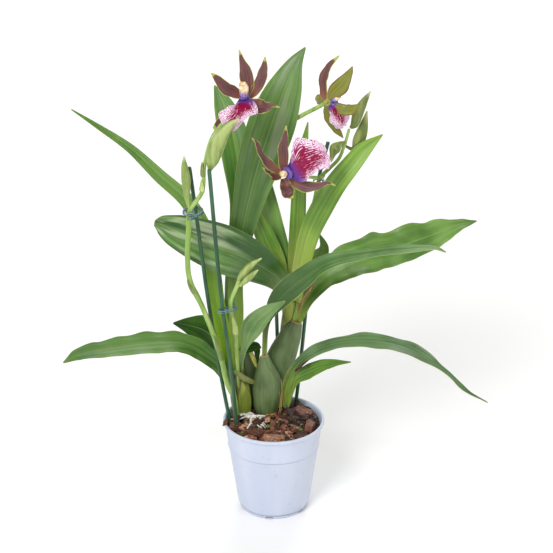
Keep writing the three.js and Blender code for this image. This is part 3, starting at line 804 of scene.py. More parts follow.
def split_long_edges(piece, cuts):
    """In edit mode, subdivides the edges that run along Y, which rings the cylinder with rows."""
    bpy.ops.mesh.select_mode(type="EDGE")
    mesh = bmesh.from_edit_mesh(piece.data)
    for edge in mesh.edges:
        one, other = edge.verts
        edge.select_set(abs(one.co.y - other.co.y) > 0.5)
    bmesh.update_edit_mesh(piece.data)
    bpy.ops.mesh.subdivide(number_cuts=cuts)
    bpy.ops.mesh.select_mode(type="VERT")


def painted_tube(name, finish, *shape, **form):
    """A tube with its finish, for a part that is joined with others."""
    piece = tube(name, *shape, **form)
    piece.data.materials.append(finish)
    return piece


def grow(name, finish, slot, nodes, *shape, **form):
    """A tube with its finish, set in place; nodes: what it stands for in the frame."""
    set_in_place(painted_tube(name, finish, *shape, **form), slot, *nodes)


print("tubes can be made")

# %% [markdown]
# ## The pot
# The pot is one thin moulded shell. Its outline is drawn as a ring that is extruded from the
# middle of the underside, up the outside, over the rolled rim and down the inside. That is
# how a lathe would make it, and every moulded step stays a crisp edge. The drain holes and
# the gaps in the foot ring are then cut out.

# %% Turn an outline into a round shell
rim_radius, foot_radius = 60, 42
pot_wall, rim_height, rim_out = 1.4, 4, 1.8
drain_depth, hub_radius, foot_width = 3, 12, 8
ridge_out = 0.8


def wall_radius(height):
    """Outside radius of the pot's wall, in mm."""
    return foot_radius + (rim_radius - rim_out - foot_radius) * height / pot_height


def on_wall(height, out=0, up=0):
    """A point of the outline that lies a little out from the wall, and above a height."""
    return wall_radius(height) + out, height + up


def lathe(name, outline, corners):
    """Extrudes a ring through the (radius, height) points of an outline, in mm, and closes it."""
    only()
    radius, height = outline[0]
    bpy.ops.mesh.primitive_circle_add(vertices=corners, radius=radius * MM, location=(0, 0, height * MM))
    piece = named(name)
    bpy.ops.object.transform_apply(location=True, rotation=False, scale=False)
    edit(piece)
    for next_radius, next_height in outline[1:]:
        rise = (next_height - height) * MM
        bpy.ops.mesh.extrude_region_move(TRANSFORM_OT_translate={"value": (0, 0, rise)})
        widen = next_radius / radius
        bpy.ops.transform.resize(value=(widen, widen, 1), center_override=(0, 0, next_height * MM))
        radius, height = next_radius, next_height
    bpy.ops.mesh.edge_face_add()
    first = outline[0][1] * MM
    pick(piece, lambda v: abs(v.co.z - first) < 1e-6 and v.co.xy.length < (outline[0][0] + 0.01) * MM)
    bpy.ops.mesh.edge_face_add()
    bpy.ops.mesh.select_all(action="SELECT")
    bpy.ops.mesh.normals_make_consistent(inside=False)
    only(piece)
    return piece


pot_floor = drain_depth + pot_wall
pot_ridge = pot_height - ridge_drop
under_rim = pot_height - rim_height
flare = pot_height - 17
pot_outline = [
    (hub_radius, 0), (hub_radius + 1.6, drain_depth), (foot_radius - foot_width - 1, drain_depth),
    (foot_radius - foot_width, 0.4), (foot_radius - foot_width + 0.6, 0), (foot_radius - 3.0, 0),
    (foot_radius - 2.2, 0.4), on_wall(foot_height, -1.5, -0.7), on_wall(foot_height, -1.6, -0.3),
    on_wall(foot_height, -2.4), on_wall(foot_height, -2.4, 0.4), on_wall(foot_height, -1.3, 0.8),
    on_wall(foot_height + 3, -0.6), on_wall(foot_height + 7, -0.15), on_wall(foot_height + 12),
    on_wall(pot_ridge - 2), on_wall(pot_ridge, 0, -0.9), on_wall(pot_ridge, -0.4, -0.6),
    on_wall(pot_ridge, -0.4, -0.1), on_wall(pot_ridge, ridge_out, 0.1), on_wall(pot_ridge, ridge_out, 0.5),
    on_wall(pot_ridge + 1.5), on_wall(pot_ridge + 3.5), on_wall(flare - 2), on_wall(flare, -0.1),
    on_wall(flare + 7, -0.4), on_wall(under_rim, -0.2, -2.5), on_wall(under_rim, 0.5, -0.6),
    (rim_radius - 0.9, under_rim + 0.1), (rim_radius - 0.1, under_rim + 0.9), (rim_radius, under_rim + 1.8),
    (rim_radius - 0.1, pot_height - 1.2), (rim_radius - 0.5, pot_height - 0.3),
    (rim_radius - 1.2, pot_height), (rim_radius - 2.2, pot_height), (rim_radius - 2.9, pot_height - 0.5),
    on_wall(pot_height - 3, -pot_wall), on_wall(8, -pot_wall),
    (wall_radius(5) - pot_wall - 1.2, pot_floor + 0.6), (wall_radius(5) - pot_wall - 3, pot_floor),
    (hub_radius + 3, pot_floor), (hub_radius + 1.4, pot_wall + 0.2), (hub_radius, pot_wall),
]
pot = lathe("nursery_pot", pot_outline, 128)
print("pot outline has", len(pot_outline), "points, and the shell", len(pot.data.polygons), "faces")

# %% Cut the drain holes and the gaps in the foot ring
drain_count, drain_reach, drain_radius, drain_cut = 6, 24, 4, 8
foot_gap = (14, 8, 6.4)
foot_gap_turn = -1.8


def drain_cutters():
    cutters = []
    for i in range(drain_count):
        turn = i * 2 * math.pi / drain_count + 0.1
        place = (drain_reach * MM * math.cos(turn), drain_reach * MM * math.sin(turn), pot_floor * MM)
        only()
        bpy.ops.mesh.primitive_cylinder_add(vertices=24, radius=drain_radius * MM, depth=drain_cut * MM,
                                            location=place)
        cutters.append(bpy.context.object)
        turn += foot_gap_turn
        reach = (foot_radius - foot_width / 2) * MM
        place = (reach * math.cos(turn), reach * math.sin(turn), 0)
        only()
        bpy.ops.mesh.primitive_cube_add(size=1, location=place, rotation=(0, 0, turn),
                                        scale=[side * MM for side in foot_gap])
        cutters.append(bpy.context.object)
    return join_into_one("drain_cutters", cutters)


cutters = drain_cutters()
apply_modifier(pot, "BOOLEAN", operation="DIFFERENCE", object=cutters, solver="EXACT")
bpy.data.objects.remove(cutters)
give(pot, pot_lilac, "pot", "pot")
print("pot with holes:", len(pot.data.polygons), "faces")

# %% [markdown]
# ## Bark mix
# The roots sit in bark. A solid dark mass fills the pot to just under its rim, a little higher
# at the back. What one sees is the chips on it: angular pieces of all sizes, with a little moss.
# A few chips are modelled from a cube, cut and roughened, and then copied several hundred times
# over the top, each copy turned its own way. Six big ones lie where the frame has them.

# %% The solid mass under the chips
mix_edge, mix_middle, mix_tilt = 106, 110, 0.07
mix_floor, mix_bumps = 4.9, 1.5


def mix_height(x, y):
    """Height of the mass at a place, all in mm."""
    crown = 1 - ease(math.hypot(x, y), 34, 56)
    return mix_edge + (mix_middle - mix_edge) * crown + mix_tilt * y


inside = wall_radius(mix_edge) - pot_wall - 0.5
mix_outline = [(4, mix_floor), (36, mix_floor), (wall_radius(10) - pot_wall - 0.6, 9)]
mix_outline += [(inside * share, mix_edge) for share in (1, 0.95, 0.85, 0.7, 0.5, 0.3, 0.1)]
mix = lathe("packed_mix", mix_outline, 64)
for vertex in mix.data.vertices:
    if vertex.co.z > 0.1:
        height = mix_height(vertex.co.x / MM, vertex.co.y / MM)
        bumps = noise.noise(vertex.co * 90) * (vertex.co.xy.length < (inside - 1) * MM)
        vertex.co.z = (height + mix_bumps * bumps - mix_bumps) * MM
give(mix, bark_dark, "mix", "potting_mix")
print("mix stands", round(max(v.co.z for v in mix.data.vertices) / MM, 1), "mm high")

# %% Model a few chips of bark
def bark_chip(name, seed, cuts=1):
    """A chip about two units long: a cube with its corners cut off, roughened and flattened."""
    dice = random.Random(seed)
    only()
    bpy.ops.mesh.primitive_cube_add(size=2)
    piece = named(name)
    edit(piece)
    bpy.ops.mesh.subdivide(number_cuts=cuts, fractal=0.0)
    for _ in range(3):
        way = Vector((dice.uniform(-1, 1), dice.uniform(-1, 1), dice.uniform(-0.4, 0.4))).normalized()
        bpy.ops.mesh.select_all(action="SELECT")
        place = way * dice.uniform(0.75, 1.0)
        bpy.ops.mesh.bisect(plane_co=place, plane_no=way, use_fill=True, clear_outer=True)
    bpy.ops.mesh.select_all(action="SELECT")
    bpy.ops.transform.vertex_random(offset=0.16, seed=seed)
    bpy.ops.transform.resize(value=(1, dice.uniform(0.5, 0.8), dice.uniform(0.28, 0.45)))
    only(piece)
    return piece


chip_shapes = [bark_chip("chip_shape_" + str(i), 11 + i) for i in range(6)]
print("chip shapes:", [len(shape.data.polygons) for shape in chip_shapes], "faces")

# %% Lay the six big chips
def placed_copy(shape, name, place, size, turn, tone):
    """A copy with its own mesh, sized, turned and moved; place and size in mm."""
    copy = shape.copy()
    copy.data = shape.data.copy()
    named(name, copy)
    bpy.context.collection.objects.link(copy)
    scaling = Matrix.Diagonal((size[0] * MM, size[1] * MM, size[2] * MM, 1))
    turning = Matrix.Rotation(turn[2], 4, "Z") @ Matrix.Rotation(turn[1], 4, "Y")
    turning = turning @ Matrix.Rotation(turn[0], 4, "X")
    copy.data.transform(Matrix.Translation(Vector(place) * MM) @ turning @ scaling)
    tones = copy.data.attributes.new("tone", "FLOAT", "POINT")
    for value in tones.data:
        value.value = tone
    return copy


big_chips = [
    ((-47, -15, 111), (8, 7, 10), (0.1, -0.2, 0.6), 0.35),
    ((-22, -30, 112), (12, 11, 12), (0.2, 0.1, 2.4), 0.3),
    ((0, -40, 110), (11, 10, 13), (-0.2, 0.2, 0.4), 0.85),
    ((43, -12, 111), (12, 10, 12), (0.15, 0.1, 1.5), 0.4),
    ((36, 16, 112), (10, 10, 12), (0.1, -0.2, 2.9), 0.35),
    ((-18, -8, 113), (10, 9, 11), (-0.1, 0.2, 1.1), 0.2),
]
for number, row in enumerate(big_chips):
    node_name = "bark_chip_" + str(number + 1)
    source = bark_chip("big_chip", 31 + number, cuts=2)
    chip = placed_copy(source, "big_" + node_name, *row)
    bpy.data.objects.remove(source)
    apply_modifier(chip, "BEVEL", width=0.5 * MM, segments=1, limit_method="ANGLE")
    give(chip, bark_red, "chip", node_name, crease=22)
print("big chips:", len(big_chips))

# %% Scatter the small chips over the mix
mix_reach, chip_tilt = 52.5, 0.45
planted = [(-9, 20, 14), (-2, 42, 13), (-31, 34, 11), (-39, 20, 10), (10, 50, 8), (-52, 8, 3), (-43, -15, 3),
           (26, 44, 3), (5, 50, 3)]


def free_of_plants(x, y, size):
    """No bulb, shoot or stake stands there: planted has the place and reach of each, in mm."""
    return all(math.hypot(x - px, y - py) > reach + size * 0.3 for px, py, reach in planted)


def scatter_chips(name, count, sizes, lift, finish, seed):
    """Chips of one range of sizes, in mm, joined into one piece."""
    dice = random.Random(seed)
    parts = []
    while len(parts) < count:
        size = dice.uniform(*sizes)
        reach, way = (mix_reach - size * 0.7) * math.sqrt(dice.random()), dice.uniform(0, 2 * math.pi)
        x, y = reach * math.cos(way), reach * math.sin(way)
        if not free_of_plants(x, y, size):
            continue
        turn = [dice.uniform(-chip_tilt, chip_tilt) for _ in range(2)] + [dice.uniform(0, 6.28)]
        place = (x, y, mix_height(x, y) + dice.uniform(*lift))
        shape = dice.choice(chip_shapes)
        # Painted shade: the chips are darker towards the right and the back.
        shade_dimming = 1 - 0.75 * ease(x + 0.8 * y, 0, 40)
        parts.append(placed_copy(shape, "chip_part", place, [size] * 3, turn, shade_dimming * dice.random()))
    chips = join_into_one(name, parts)
    give(chips, finish, "chip", crease=15)
    print(name, "has", len(chips.data.polygons), "faces")


scatter_chips("chips_medium", 105, (4.0, 7.2), (-1.0, 2.4), bark_red, 5)
scatter_chips("chips_small", 170, (1.6, 3.6), (0.5, 3.4), bark_red, 6)
scatter_chips("chips_dark", 120, (2.5, 6.0), (-0.3, 2.6), bark_dark, 7)
scatter_chips("moss_bits", 26, (1.0, 2.8), (2.2, 4.0), moss_green, 8)
rim_chip = placed_copy(chip_shapes[2], "rim_chip", (-56.5, -15, 116.4), (5, 4, 5), (0.1, -0.15, 1.2), 0.3)
give(rim_chip, bark_red, "chip", crease=22)
for shape in chip_shapes:
    bpy.data.objects.remove(shape)

# %% [markdown]
# ## Bulbs and shoots
# Orchids of this kind store water in flattened green bulbs, ribbed from base to top. The front
# one has a leaf scar at its top, a bigger one leans behind it to the right, and an old dark one
# stands at the left. Each is a tube with shallow ridges, squashed from front to back.

# %% The three bulbs
grow("front_bulb", bulb_green, "bulb", ["bulb_front"],
     [(-9, 20, 106), (-9, 20, 124), (-8, 20, 152), (-10, 20, 175), (-11, 21, 187)], [11, 15.5, 17, 10, 5],
     flat=0.68, sides=40, rows=22, ridges=(7, 0.018))
grow("right_bulb", bulb_green, "bulb", ["bulb_right"],
     [(-4, 42, 108), (0, 42, 138), (8, 41, 172), (20, 41, 204), (27, 41, 222)], [11, 15, 17.5, 13, 7.5],
     flat=0.58, sides=40, rows=24, ridges=(7, 0.018))
grow("old_bulb", bulb_old, "bulb_dark", ["bulb_back"],
     [(-31, 34, 107), (-31, 34, 140), (-32, 35, 165), (-36, 36, 188)], [9, 12.5, 10.8, 5.5],
     flat=0.75, sides=36, rows=18, ridges=(11, 0.05))
print("bulbs made")

# %% The young shoot and the column of leaf bases
grow("left_shoot", shoot_green, "shoot", ["shoot_left"],
     [(-37, 18, 105), (-37, 18, 124), (-38, 18, 146), (-41, 17, 170)], [8.5, 10.2, 9, 5],
     flat=0.8, sides=28, rows=16, ridges=(3, 0.06))
grow("right_crown", shoot_green, "shoot", ["crown_right"],
     [(10, 50, 112), (12, 50, 160), (16, 47, 210), (20, 41, 250)], [6, 7, 8.5, 7],
     flat=0.62, sides=28, rows=20, ridges=(5, 0.07))
print("shoots made")

# %% [markdown]
# ## Leaves
# Each leaf has its own route, widths, fold and finish, taken from how it grows: the tall ones
# stand almost straight, the lower ones arch over and hang at their tips. At its base a leaf is
# folded tightly, because it clasps the shoot that it grows from.

# %% The way a leaf faces
to_front = (0, -0.91, 0.41)
to_front_up = (0, -0.45, 0.89)


def leaf(node_name, finish, slot, route, half, faces, **form):
    piece = blade(node_name + "_blade", route, half, faces, finish, leaf_under, **form)
    set_in_place(piece, slot, node_name)


print("a leaf that looks to the front and a little up:", to_front)

# %% Leaves of the left shoot
leaf("leaf_tall", leaf_tall_green, "leaf",
     [(-40, 25, 136), (-43, 28, 197), (-44, 29, 240), (-44, 30, 280), (-39, 32, 323), (-30, 35, 369),
      (-18, 42, 415), (-1, 50, 466), (13, 60, 503), (24, 68, 529), (36, 76, 546)],
     [6, 7, 9, 9, 12, 17, 24, 27, 20, 9.5, 0.8], ((0.1, -0.9, 0.3), (-0.1, -0.9, 0.3)),
     fold=(0.7, 0.1), ripple=0.8, ribs=0.6, seed=1.0)
leaf("leaf_tall_left", leaf_tall_pale, "leaf_pale",
     [(-40, 30, 136), (-46, 38, 192), (-49, 44, 248), (-46, 50, 303), (-40, 58, 363), (-41, 68, 408),
      (-48, 80, 446), (-58, 92, 474), (-68, 102, 493)],
     [6, 8, 8.5, 9, 10.5, 17, 17, 11, 0.8], (to_front, to_front), fold=(0.7, 0.35), seed=2.0)
leaf("leaf_narrow_left", leaf_narrow, "leaf",
     [(-45, 24, 133), (-55, 32, 195), (-66, 40, 243), (-72, 48, 287), (-81, 58, 331), (-100, 72, 361),
      (-133, 92, 385), (-168, 112, 412), (-205, 132, 431), (-240, 150, 448)],
     [6, 8, 10, 10.5, 10, 9, 8, 5.5, 3.5, 0.7], ((-0.1, -0.95, 0.2), (-0.2, -0.5, 0.9)),
     fold=(0.7, 0.35), ripple=0.4, seed=3.0)
leaf("leaf_low_left", leaf_low, "leaf",
     [(-44, 22, 132), (-54, 20, 160), (-74, 16, 186), (-103, 5, 210), (-142, -14, 220), (-186, -36, 224),
      (-219, -52, 225), (-237, -62, 219)],
     [5, 8, 10, 14, 16, 13, 9, 0.8], ((-0.5, -0.6, 0.6), to_front_up),
     fold=(0.7, 0.12), ripple=1.5, waves=58, waver=0.045, seed=4.0)
# Its dark green is partly painted shade.
leaf("leaf_low_dark", leaf_deep_shaded, "leaf_dark",
     [(-43, 30, 134), (-50, 38, 159), (-64, 48, 187), (-82, 62, 199), (-103, 78, 199), (-122, 90, 196)],
     [5, 11, 19, 19, 10, 0.8], ((-0.4, -0.7, 0.6), to_front), fold=(0.6, 0.1), ripple=0.6, seed=5.0)
leaf("leaf_front", leaf_grey, "leaf",
     [(-42, 18, 129), (-40, 12, 172), (-37, 9, 190), (-33, 5, 208), (-25, -4, 235), (-10, -17, 259),
      (13, -30, 281)],
     [2.6, 2.6, 2.8, 4.8, 12.5, 9.5, 0.8], (to_front, to_front),
     fold=(0.8, 0.3), ripple=1.0, waves=20, seed=6.0)
print("leaves of the left shoot made")

# %% Leaves of the right growth
leaf("leaf_broad_left", leaf_blotched_sheen, "leaf_pale",
     [(18, 38, 248), (6, 31, 280), (-25, 20, 308), (-55, 11, 326), (-85, 6, 341), (-112, 1, 355),
      (-127, -2, 363), (-134, -3, 365)],
     [7, 14, 23.5, 28, 25, 18.5, 10.5, 3], (to_front, (-0.1, -0.92, 0.4)),
     fold=(0.5, 0.06), ripple=0.6, ribs=0.9, seed=7.0)
leaf("leaf_big_right", leaf_green, "leaf",
     [(26, 41, 217), (38, 38, 251), (59, 38, 280), (95, 44, 301), (136, 56, 308), (183, 68, 320),
      (216, 78, 329), (239, 84, 332)],
     [5.5, 9, 14, 22, 23, 20, 9.5, 0.8], (to_front, to_front_up), fold=(0.8, 0.12), ripple=3.0,
     waves=48, waver=0.075, seed=8.0)
leaf("leaf_erect_right", leaf_bright, "leaf_pale",
     [(25, 38, 248), (32, 31, 297), (42, 27, 342), (54, 25, 371), (71, 26, 402), (85, 29, 420),
      (102, 35, 439), (123, 40, 455)],
     [7, 10, 12, 13, 12.5, 11.5, 9, 0.8], (to_front, (0.2, -0.9, 0.3)), fold=(0.7, 0.25), seed=9.0)
leaf("leaf_erect_middle", leaf_bright, "leaf_pale",
     [(22, 42, 246), (26, 44, 306), (28, 47, 354), (30, 52, 396), (34, 57, 430), (39, 60, 463)],
     [6, 9.3, 9.2, 8, 5.7, 0.7], (to_front, to_front), fold=(0.7, 0.3), seed=10.0)
leaf("leaf_short_right", leaf_green, "leaf_dark",
     [(28, 46, 237), (37, 52, 257), (50, 60, 290), (59, 66, 305), (54, 70, 321)],
     [4.7, 9.4, 11.7, 6, 0.8], (to_front, to_front), fold=(0.6, 0.2), seed=11.0)
leaf("leaf_pale_centre", leaf_bright, "leaf_pale",
     [(15, 40, 245), (5, 40, 295), (-8, 43, 325), (-20, 48, 354), (-29, 54, 380), (-34, 58, 403)],
     [4.7, 10, 11.5, 9, 6, 0.8], (to_front, to_front), fold=(0.6, 0.25), seed=12.0)
leaf("leaf_dark_centre", leaf_green, "leaf_dark",
     [(16, 46, 242), (9, 47, 298), (-4, 52, 346), (-13, 62, 386), (-20, 74, 424), (-27, 84, 451)],
     [5.8, 11.6, 13.9, 11.5, 6.9, 0.8], (to_front, to_front), fold=(0.6, 0.25), seed=13.0)
print("leaves of the right growth made")

# %% The leaf on the front bulb and the two low leaves at the right
leaf("leaf_long_right", leaf_long, "leaf",
     [(-11, 21, 184), (-7, 15, 236), (9, 7, 269), (36, -4, 299), (63, -20, 325), (107, -44, 345),
      (149, -66, 360), (176, -78, 366), (187, -82, 363)],
     [3, 4.2, 12.5, 13.5, 9.5, 8, 6.5, 3.5, 0.8], (to_front, (0, -0.2, 1)), fold=(1.0, 0.2), ripple=1.2,
     waves=26, seed=14.0)
leaf("leaf_drooping_right", leaf_droop, "leaf",
     [(10, 25, 115), (15, 18, 149), (29, 6, 184), (59, -14, 216), (104, -42, 237), (147, -70, 242),
      (185, -92, 229), (212, -106, 208), (237, -114, 196)],
     [4.5, 5.2, 5.6, 7.5, 9.6, 10.6, 4.6, 3.0, 0.7], (to_front, (0.2, -0.1, 1)),
     fold=(0.9, 0.2), ripple=2.0, waves=36, waver=0.05, seed=15.0)
leaf("leaf_small_right", leaf_mid, "leaf",
     [(15, 21, 119), (25, 12, 159), (43, 2, 176), (65, -14, 193), (89, -30, 204)],
     [3.5, 5.9, 9.4, 6.5, 0.7], (to_front, to_front_up), fold=(0.8, 0.2), ripple=0.8, waves=16, seed=16.0)

# %% [markdown]
# ## Stalks
# A flower stalk is round, thickens at each joint, and carries a small pale bract there. It is
# a tube with swollen rows, and each bract is a short blade, folded round the stalk.

# %% The four stalks
stalks = {
    "left": (
        [(-45, 18, 129), (-55, 4, 160), (-62, -6, 202), (-80, -17, 265), (-94, -26, 305), (-96, -29, 331),
         (-94, -31, 368), (-92, -33, 392), (-84, -32, 404), (-78, -30, 414), (-75, -25, 444),
         (-67, -18, 472), (-50, -8, 491), (-35, 2, 501)],
        [3.2, 3.1, 3.2, 3.1, 3.1, 3.1, 3.1, 3.0, 2.7, 2.4, 2.1, 1.9, 1.8, 1.7], 90, (0.14, 0.27, 0.5, 0.69)),
    "front": (
        [(-40, 18, 129), (-43, 0, 204), (-44, -10, 235), (-48, -17, 264), (-48, -19, 277), (-42, -20, 293),
         (-38, -21, 303)],
        [2.2, 2.3, 2.8, 2.3, 2.3, 2.5, 2.9], 50, (0.33, 0.66)),
    "right": (
        [(23, 46, 188), (28, 50, 243), (38, 47, 323), (47, 43, 375), (53, 39, 403), (64, 37, 416),
         (74, 36, 428), (80, 36, 444), (85, 36, 463)],
        [3, 3, 2.7, 2.4, 2.3, 2.2, 2.1, 1.9, 1.7], 70, (0.3, 0.5, 0.87)),
    "middle": (
        [(15, 50, 186), (12, 57, 243), (9, 66, 290), (0, 74, 335), (-9, 79, 378), (-2, 77, 426),
         (16, 68, 456), (31, 54, 472), (53, 40, 489), (57, 36, 493)],
        [3, 3, 2.8, 2.6, 2.5, 2.4, 2.4, 2.5, 2.5, 2.3], 70, (0.25, 0.6, 0.78)),
}
for side, (route, radii, rows, joints) in stalks.items():
    grow(side + "_stalk", stalk_green, "stalk", ["stalk_" + side], route, radii, rows=rows, joints=joints)
print("stalks:", len(stalks))

# %% [markdown]
# ## Buds
# A bud is closed by its sepals, so it has three blunt ridges and ends in a soft point.

# %% The seven buds
buds = {
    "bud_left_1": (bud_green, [1.7, 3.2, 5.2, 3.6, 0.6],
                   [(-93, -33, 395), (-95, -33, 408), (-96, -33, 428), (-97, -33, 444), (-97, -33, 456)]),
    "bud_left_2": (bud_green, [1.7, 7, 9, 6, 0.7],
                   [(-70, -28, 436), (-67, -30, 449), (-62, -31, 468), (-51, -32, 487), (-37, -34, 499)]),
    "bud_front_1": (bud_green, [2.2, 4.6, 3.6, 0.6],
                    [(-40, -21, 302), (-34, -22, 312), (-25, -24, 323), (-13, -26, 332)]),
    "bud_front_2": (bud_green, [1.8, 3.6, 3, 0.6],
                    [(-38, -25, 297), (-31, -26, 305), (-24, -27, 312), (-17, -29, 319)]),
    "bud_right_1": (bud_olive, [1.7, 4.6, 6.2, 4, 0.6],
                    [(86, 36, 464), (90, 36, 468), (94, 36, 482), (101, 36, 496), (108, 36, 507)]),
    "bud_right_2": (bud_olive, [1.5, 2.6, 6.8, 6, 0.6],
                    [(80, 36, 443), (90, 43, 437), (95, 43, 446), (100, 43, 460), (105, 43, 482)]),
    "bud_right_3": (bud_olive, [1.3, 3, 6.4, 4, 0.6],
                    [(82, 32, 449), (76, 31, 447), (70, 30, 442), (67, 29, 436), (65, 28, 426)]),
}
for name, (finish, radii, route) in buds.items():
    grow(name + "_closed", finish, "bud", [name], route, radii, sides=24, rows=22, ridges=(3, 0.12))
print("buds:", len(buds))

# %% [markdown]
# ## Flowers
# A flower has three sepals and two petals alike in colour, a broad frilled lip with a fleshy
# violet collar at its base, and a cream column over the collar. The first five grow from one
# knob on the flower's own short stalk, so they are one piece. Each has its own route, because
# no two in the photograph curl the same way.

# %% Sepals and petals of one flower
def ball(radius, segments, rings, place=(0, 0, 0)):
    """A ball, radius and place in mm."""
    only()
    bpy.ops.mesh.primitive_uv_sphere_add(
        segments=segments, ring_count=rings, radius=radius * MM, location=Vector(place) * MM)
    bpy.ops.object.transform_apply(location=True, rotation=False, scale=False)
    return bpy.context.object


def tepals(node_name, centre, neck, blades, knob_finish=stalk_green):
    """blades: a list of (route, half widths, way it faces, curl) for the five parts."""
    parts = []
    for number, (route, half, facing, curl) in enumerate(blades):
        parts.append(blade("tepal_part", route, half, facing, tepal_inside, tepal_outside, thick=0.9,
                           lanes=10, rows=18, fold=(0.35, 0.22), ribs=0.12, ripple=curl + 0.5, waves=15,
                           waver=0.06, seed=number * 1.7))
    stalk = painted_tube("neck_part", stalk_green, neck, [2.0, 2.0, 2.6], rows=8, sides=12)
    knob = ball(2.9, 20, 12, centre)
    knob.data.materials.append(knob_finish)
    whole = join_into_one(node_name + "_spread", parts + [stalk, knob])
    set_in_place(whole, "tepal", node_name)


print("sepals and petals can be made")

# %% Lip and column of one flower
collar_radii = (1.2, 2.2, 2.6, 2.8, 2.9, 2.8, 2.6, 2.2, 1.2)
collar_turn = 260
collar_rise, collar_tilt = 0.6, 0.8
lump_scale, lump_height = 450, 0.9


def collar_ring(along, up, middle, size, thick):
    """The ridged collar, thick or thin, bent round the base of the lip and open at the back."""
    across = along.cross(up)
    count = len(collar_radii)
    arc = []
    for i in range(count):
        angle = math.radians(-collar_turn / 2 + collar_turn * i / (count - 1))
        place = along * math.cos(angle) * size + across * math.sin(angle) * size
        arc.append(tuple(middle + place + up * (collar_rise + collar_tilt * math.cos(angle))))
    radii = [thick * radius for radius in collar_radii]
    return painted_tube("collar_part", collar_violet, arc, radii, (tuple(up), tuple(up)), sides=12, rows=26,
                        joints=[(i + 0.5) / count for i in range(count)], swell=0.16)


def lip(node_name, finish, route, half, facing, collar_at, collar_size, seed, ripple=1.2, frill=1.6,
        thick=1.0):
    """The lip, the collar at its base, and the dark throat inside the collar, whose dark is partly painted
    shade.
    """
    fan = blade("lip_part", route, half, facing, finish, finish, thick=1.0, lanes=24, rows=30,
                fold=(-0.1, -0.12), ribs=0.25, ripple=ripple, frill=frill, notch=0.05, seed=seed)
    along = (Vector(route[2]) - Vector(route[0])).normalized()
    up = square_to(Vector(facing[0]), along)
    middle = Vector(collar_at)
    collar = collar_ring(along, up, middle, collar_size, thick)
    # A dark ball in the collar: the throat's own dark purple, and painted shade of its hollow.
    throat = ball(collar_size * 0.8, 20, 10)
    throat.data.transform(Matrix.Diagonal((1, 1, 0.45, 1)))
    throat.data.transform(up.to_track_quat("Z", "Y").to_matrix().to_4x4())
    throat.data.transform(Matrix.Translation((middle - up * 0.2) * MM))
    throat.data.materials.append(throat_dark_shade)
    whole = join_into_one(node_name + "_fan", [fan, collar, throat])
    set_in_place(whole, "lip", node_name)


def lumps(place):
    """Noise in three ways. noise_vector isn't used, because it differs from run to run."""
    return Vector([noise.noise(place + Vector((shift, 0, 0))) for shift in (0, 9.3, 17.1)])


def column(node_name, route, radii, facing):
    """The column, with the pale cap that covers the pollen at its end."""
    body = painted_tube("column_part", column_striped, route, radii, (facing, facing), flat=0.85, sides=20,
                        rows=14)
    cap = ball(radii[-2] * 0.72, 18, 10)
    cap.data.transform(Matrix.Diagonal((1.15, 0.8, 0.8, 1)))
    for vertex in cap.data.vertices:
        vertex.co += lumps(vertex.co * lump_scale) * lump_height * MM
    cap.data.transform(Matrix.Translation(Vector(route[-1]) * MM))
    cap.data.materials.append(column_cream)
    whole = join_into_one(node_name + "_hood", [body, cap])
    set_in_place(whole, "column", node_name)


print("flower parts can be made")

# %% The left flower
left_face = (-0.25, -0.93, 0.1)
tepals("flower_left_tepals", (-30, 4, 510), [(-33, 3, 504), (-31, 4, 507), (-30, 4, 510)], [
    ([(-31, 2, 512), (-41, -1, 517), (-51, -6, 524), (-60, -11, 536), (-67, -14, 544)],
     [2.6, 6.2, 7.0, 4.6, 0.5], ((-0.1, -0.95, 0.3), (-0.3, -0.8, 0.4)), 0.4),
    ([(-29, 3, 511), (-28, 4, 523), (-30, 6, 539), (-34, 7, 551), (-37, 6, 564)],
     [2.8, 7.2, 7.2, 3.4, 0.5], (left_face, (0.1, -0.95, 0.1)), 0.4),
    ([(-27, 2, 510), (-19, 2, 520), (-13, 2, 533), (-10, 3, 545), (-9, 4, 557)],
     [2.6, 5.6, 6.2, 4.2, 0.5], (left_face, (-0.2, -0.95, 0.1)), 0.4),
    ([(-27, 1, 508), (-18, -5, 504), (-9, -10, 504), (-2, -13, 507), (7, -14, 505)],
     [2.8, 8.4, 7.0, 2.4, 0.4], ((0, -0.9, 0.4), (-0.1, -0.9, 0.5)), 2.2),
    ([(-32, 2, 507), (-41, 3, 496), (-50, 1, 488), (-59, -2, 481), (-66, -5, 477)],
     [2.8, 6.0, 7.0, 6.0, 1.6], (left_face, (-0.2, -0.9, 0.3)), 1.4),
])
lip("flower_left_lip", lip_pale,
    [(-32, -2, 511), (-33, -9, 507), (-36, -16, 503), (-41, -21, 496), (-48, -24, 489), (-51, -24, 485)],
    ([5, 14, 19, 12, 10, 9.5, 5], [5, 9, 12, 15, 18.5, 16, 6]), ((-0.2, -0.6, 0.8), (-0.3, -0.9, 0.3)),
    (-32, -3, 513), 3.4, 1.0, frill=1.2, thick=0.7)
column("flower_left_column", [(-31, -1, 511), (-32, -5, 518), (-32, -9, 525), (-33, -11, 530)],
       [4.6, 5.0, 5.4, 4.4], left_face)
print("left flower made")

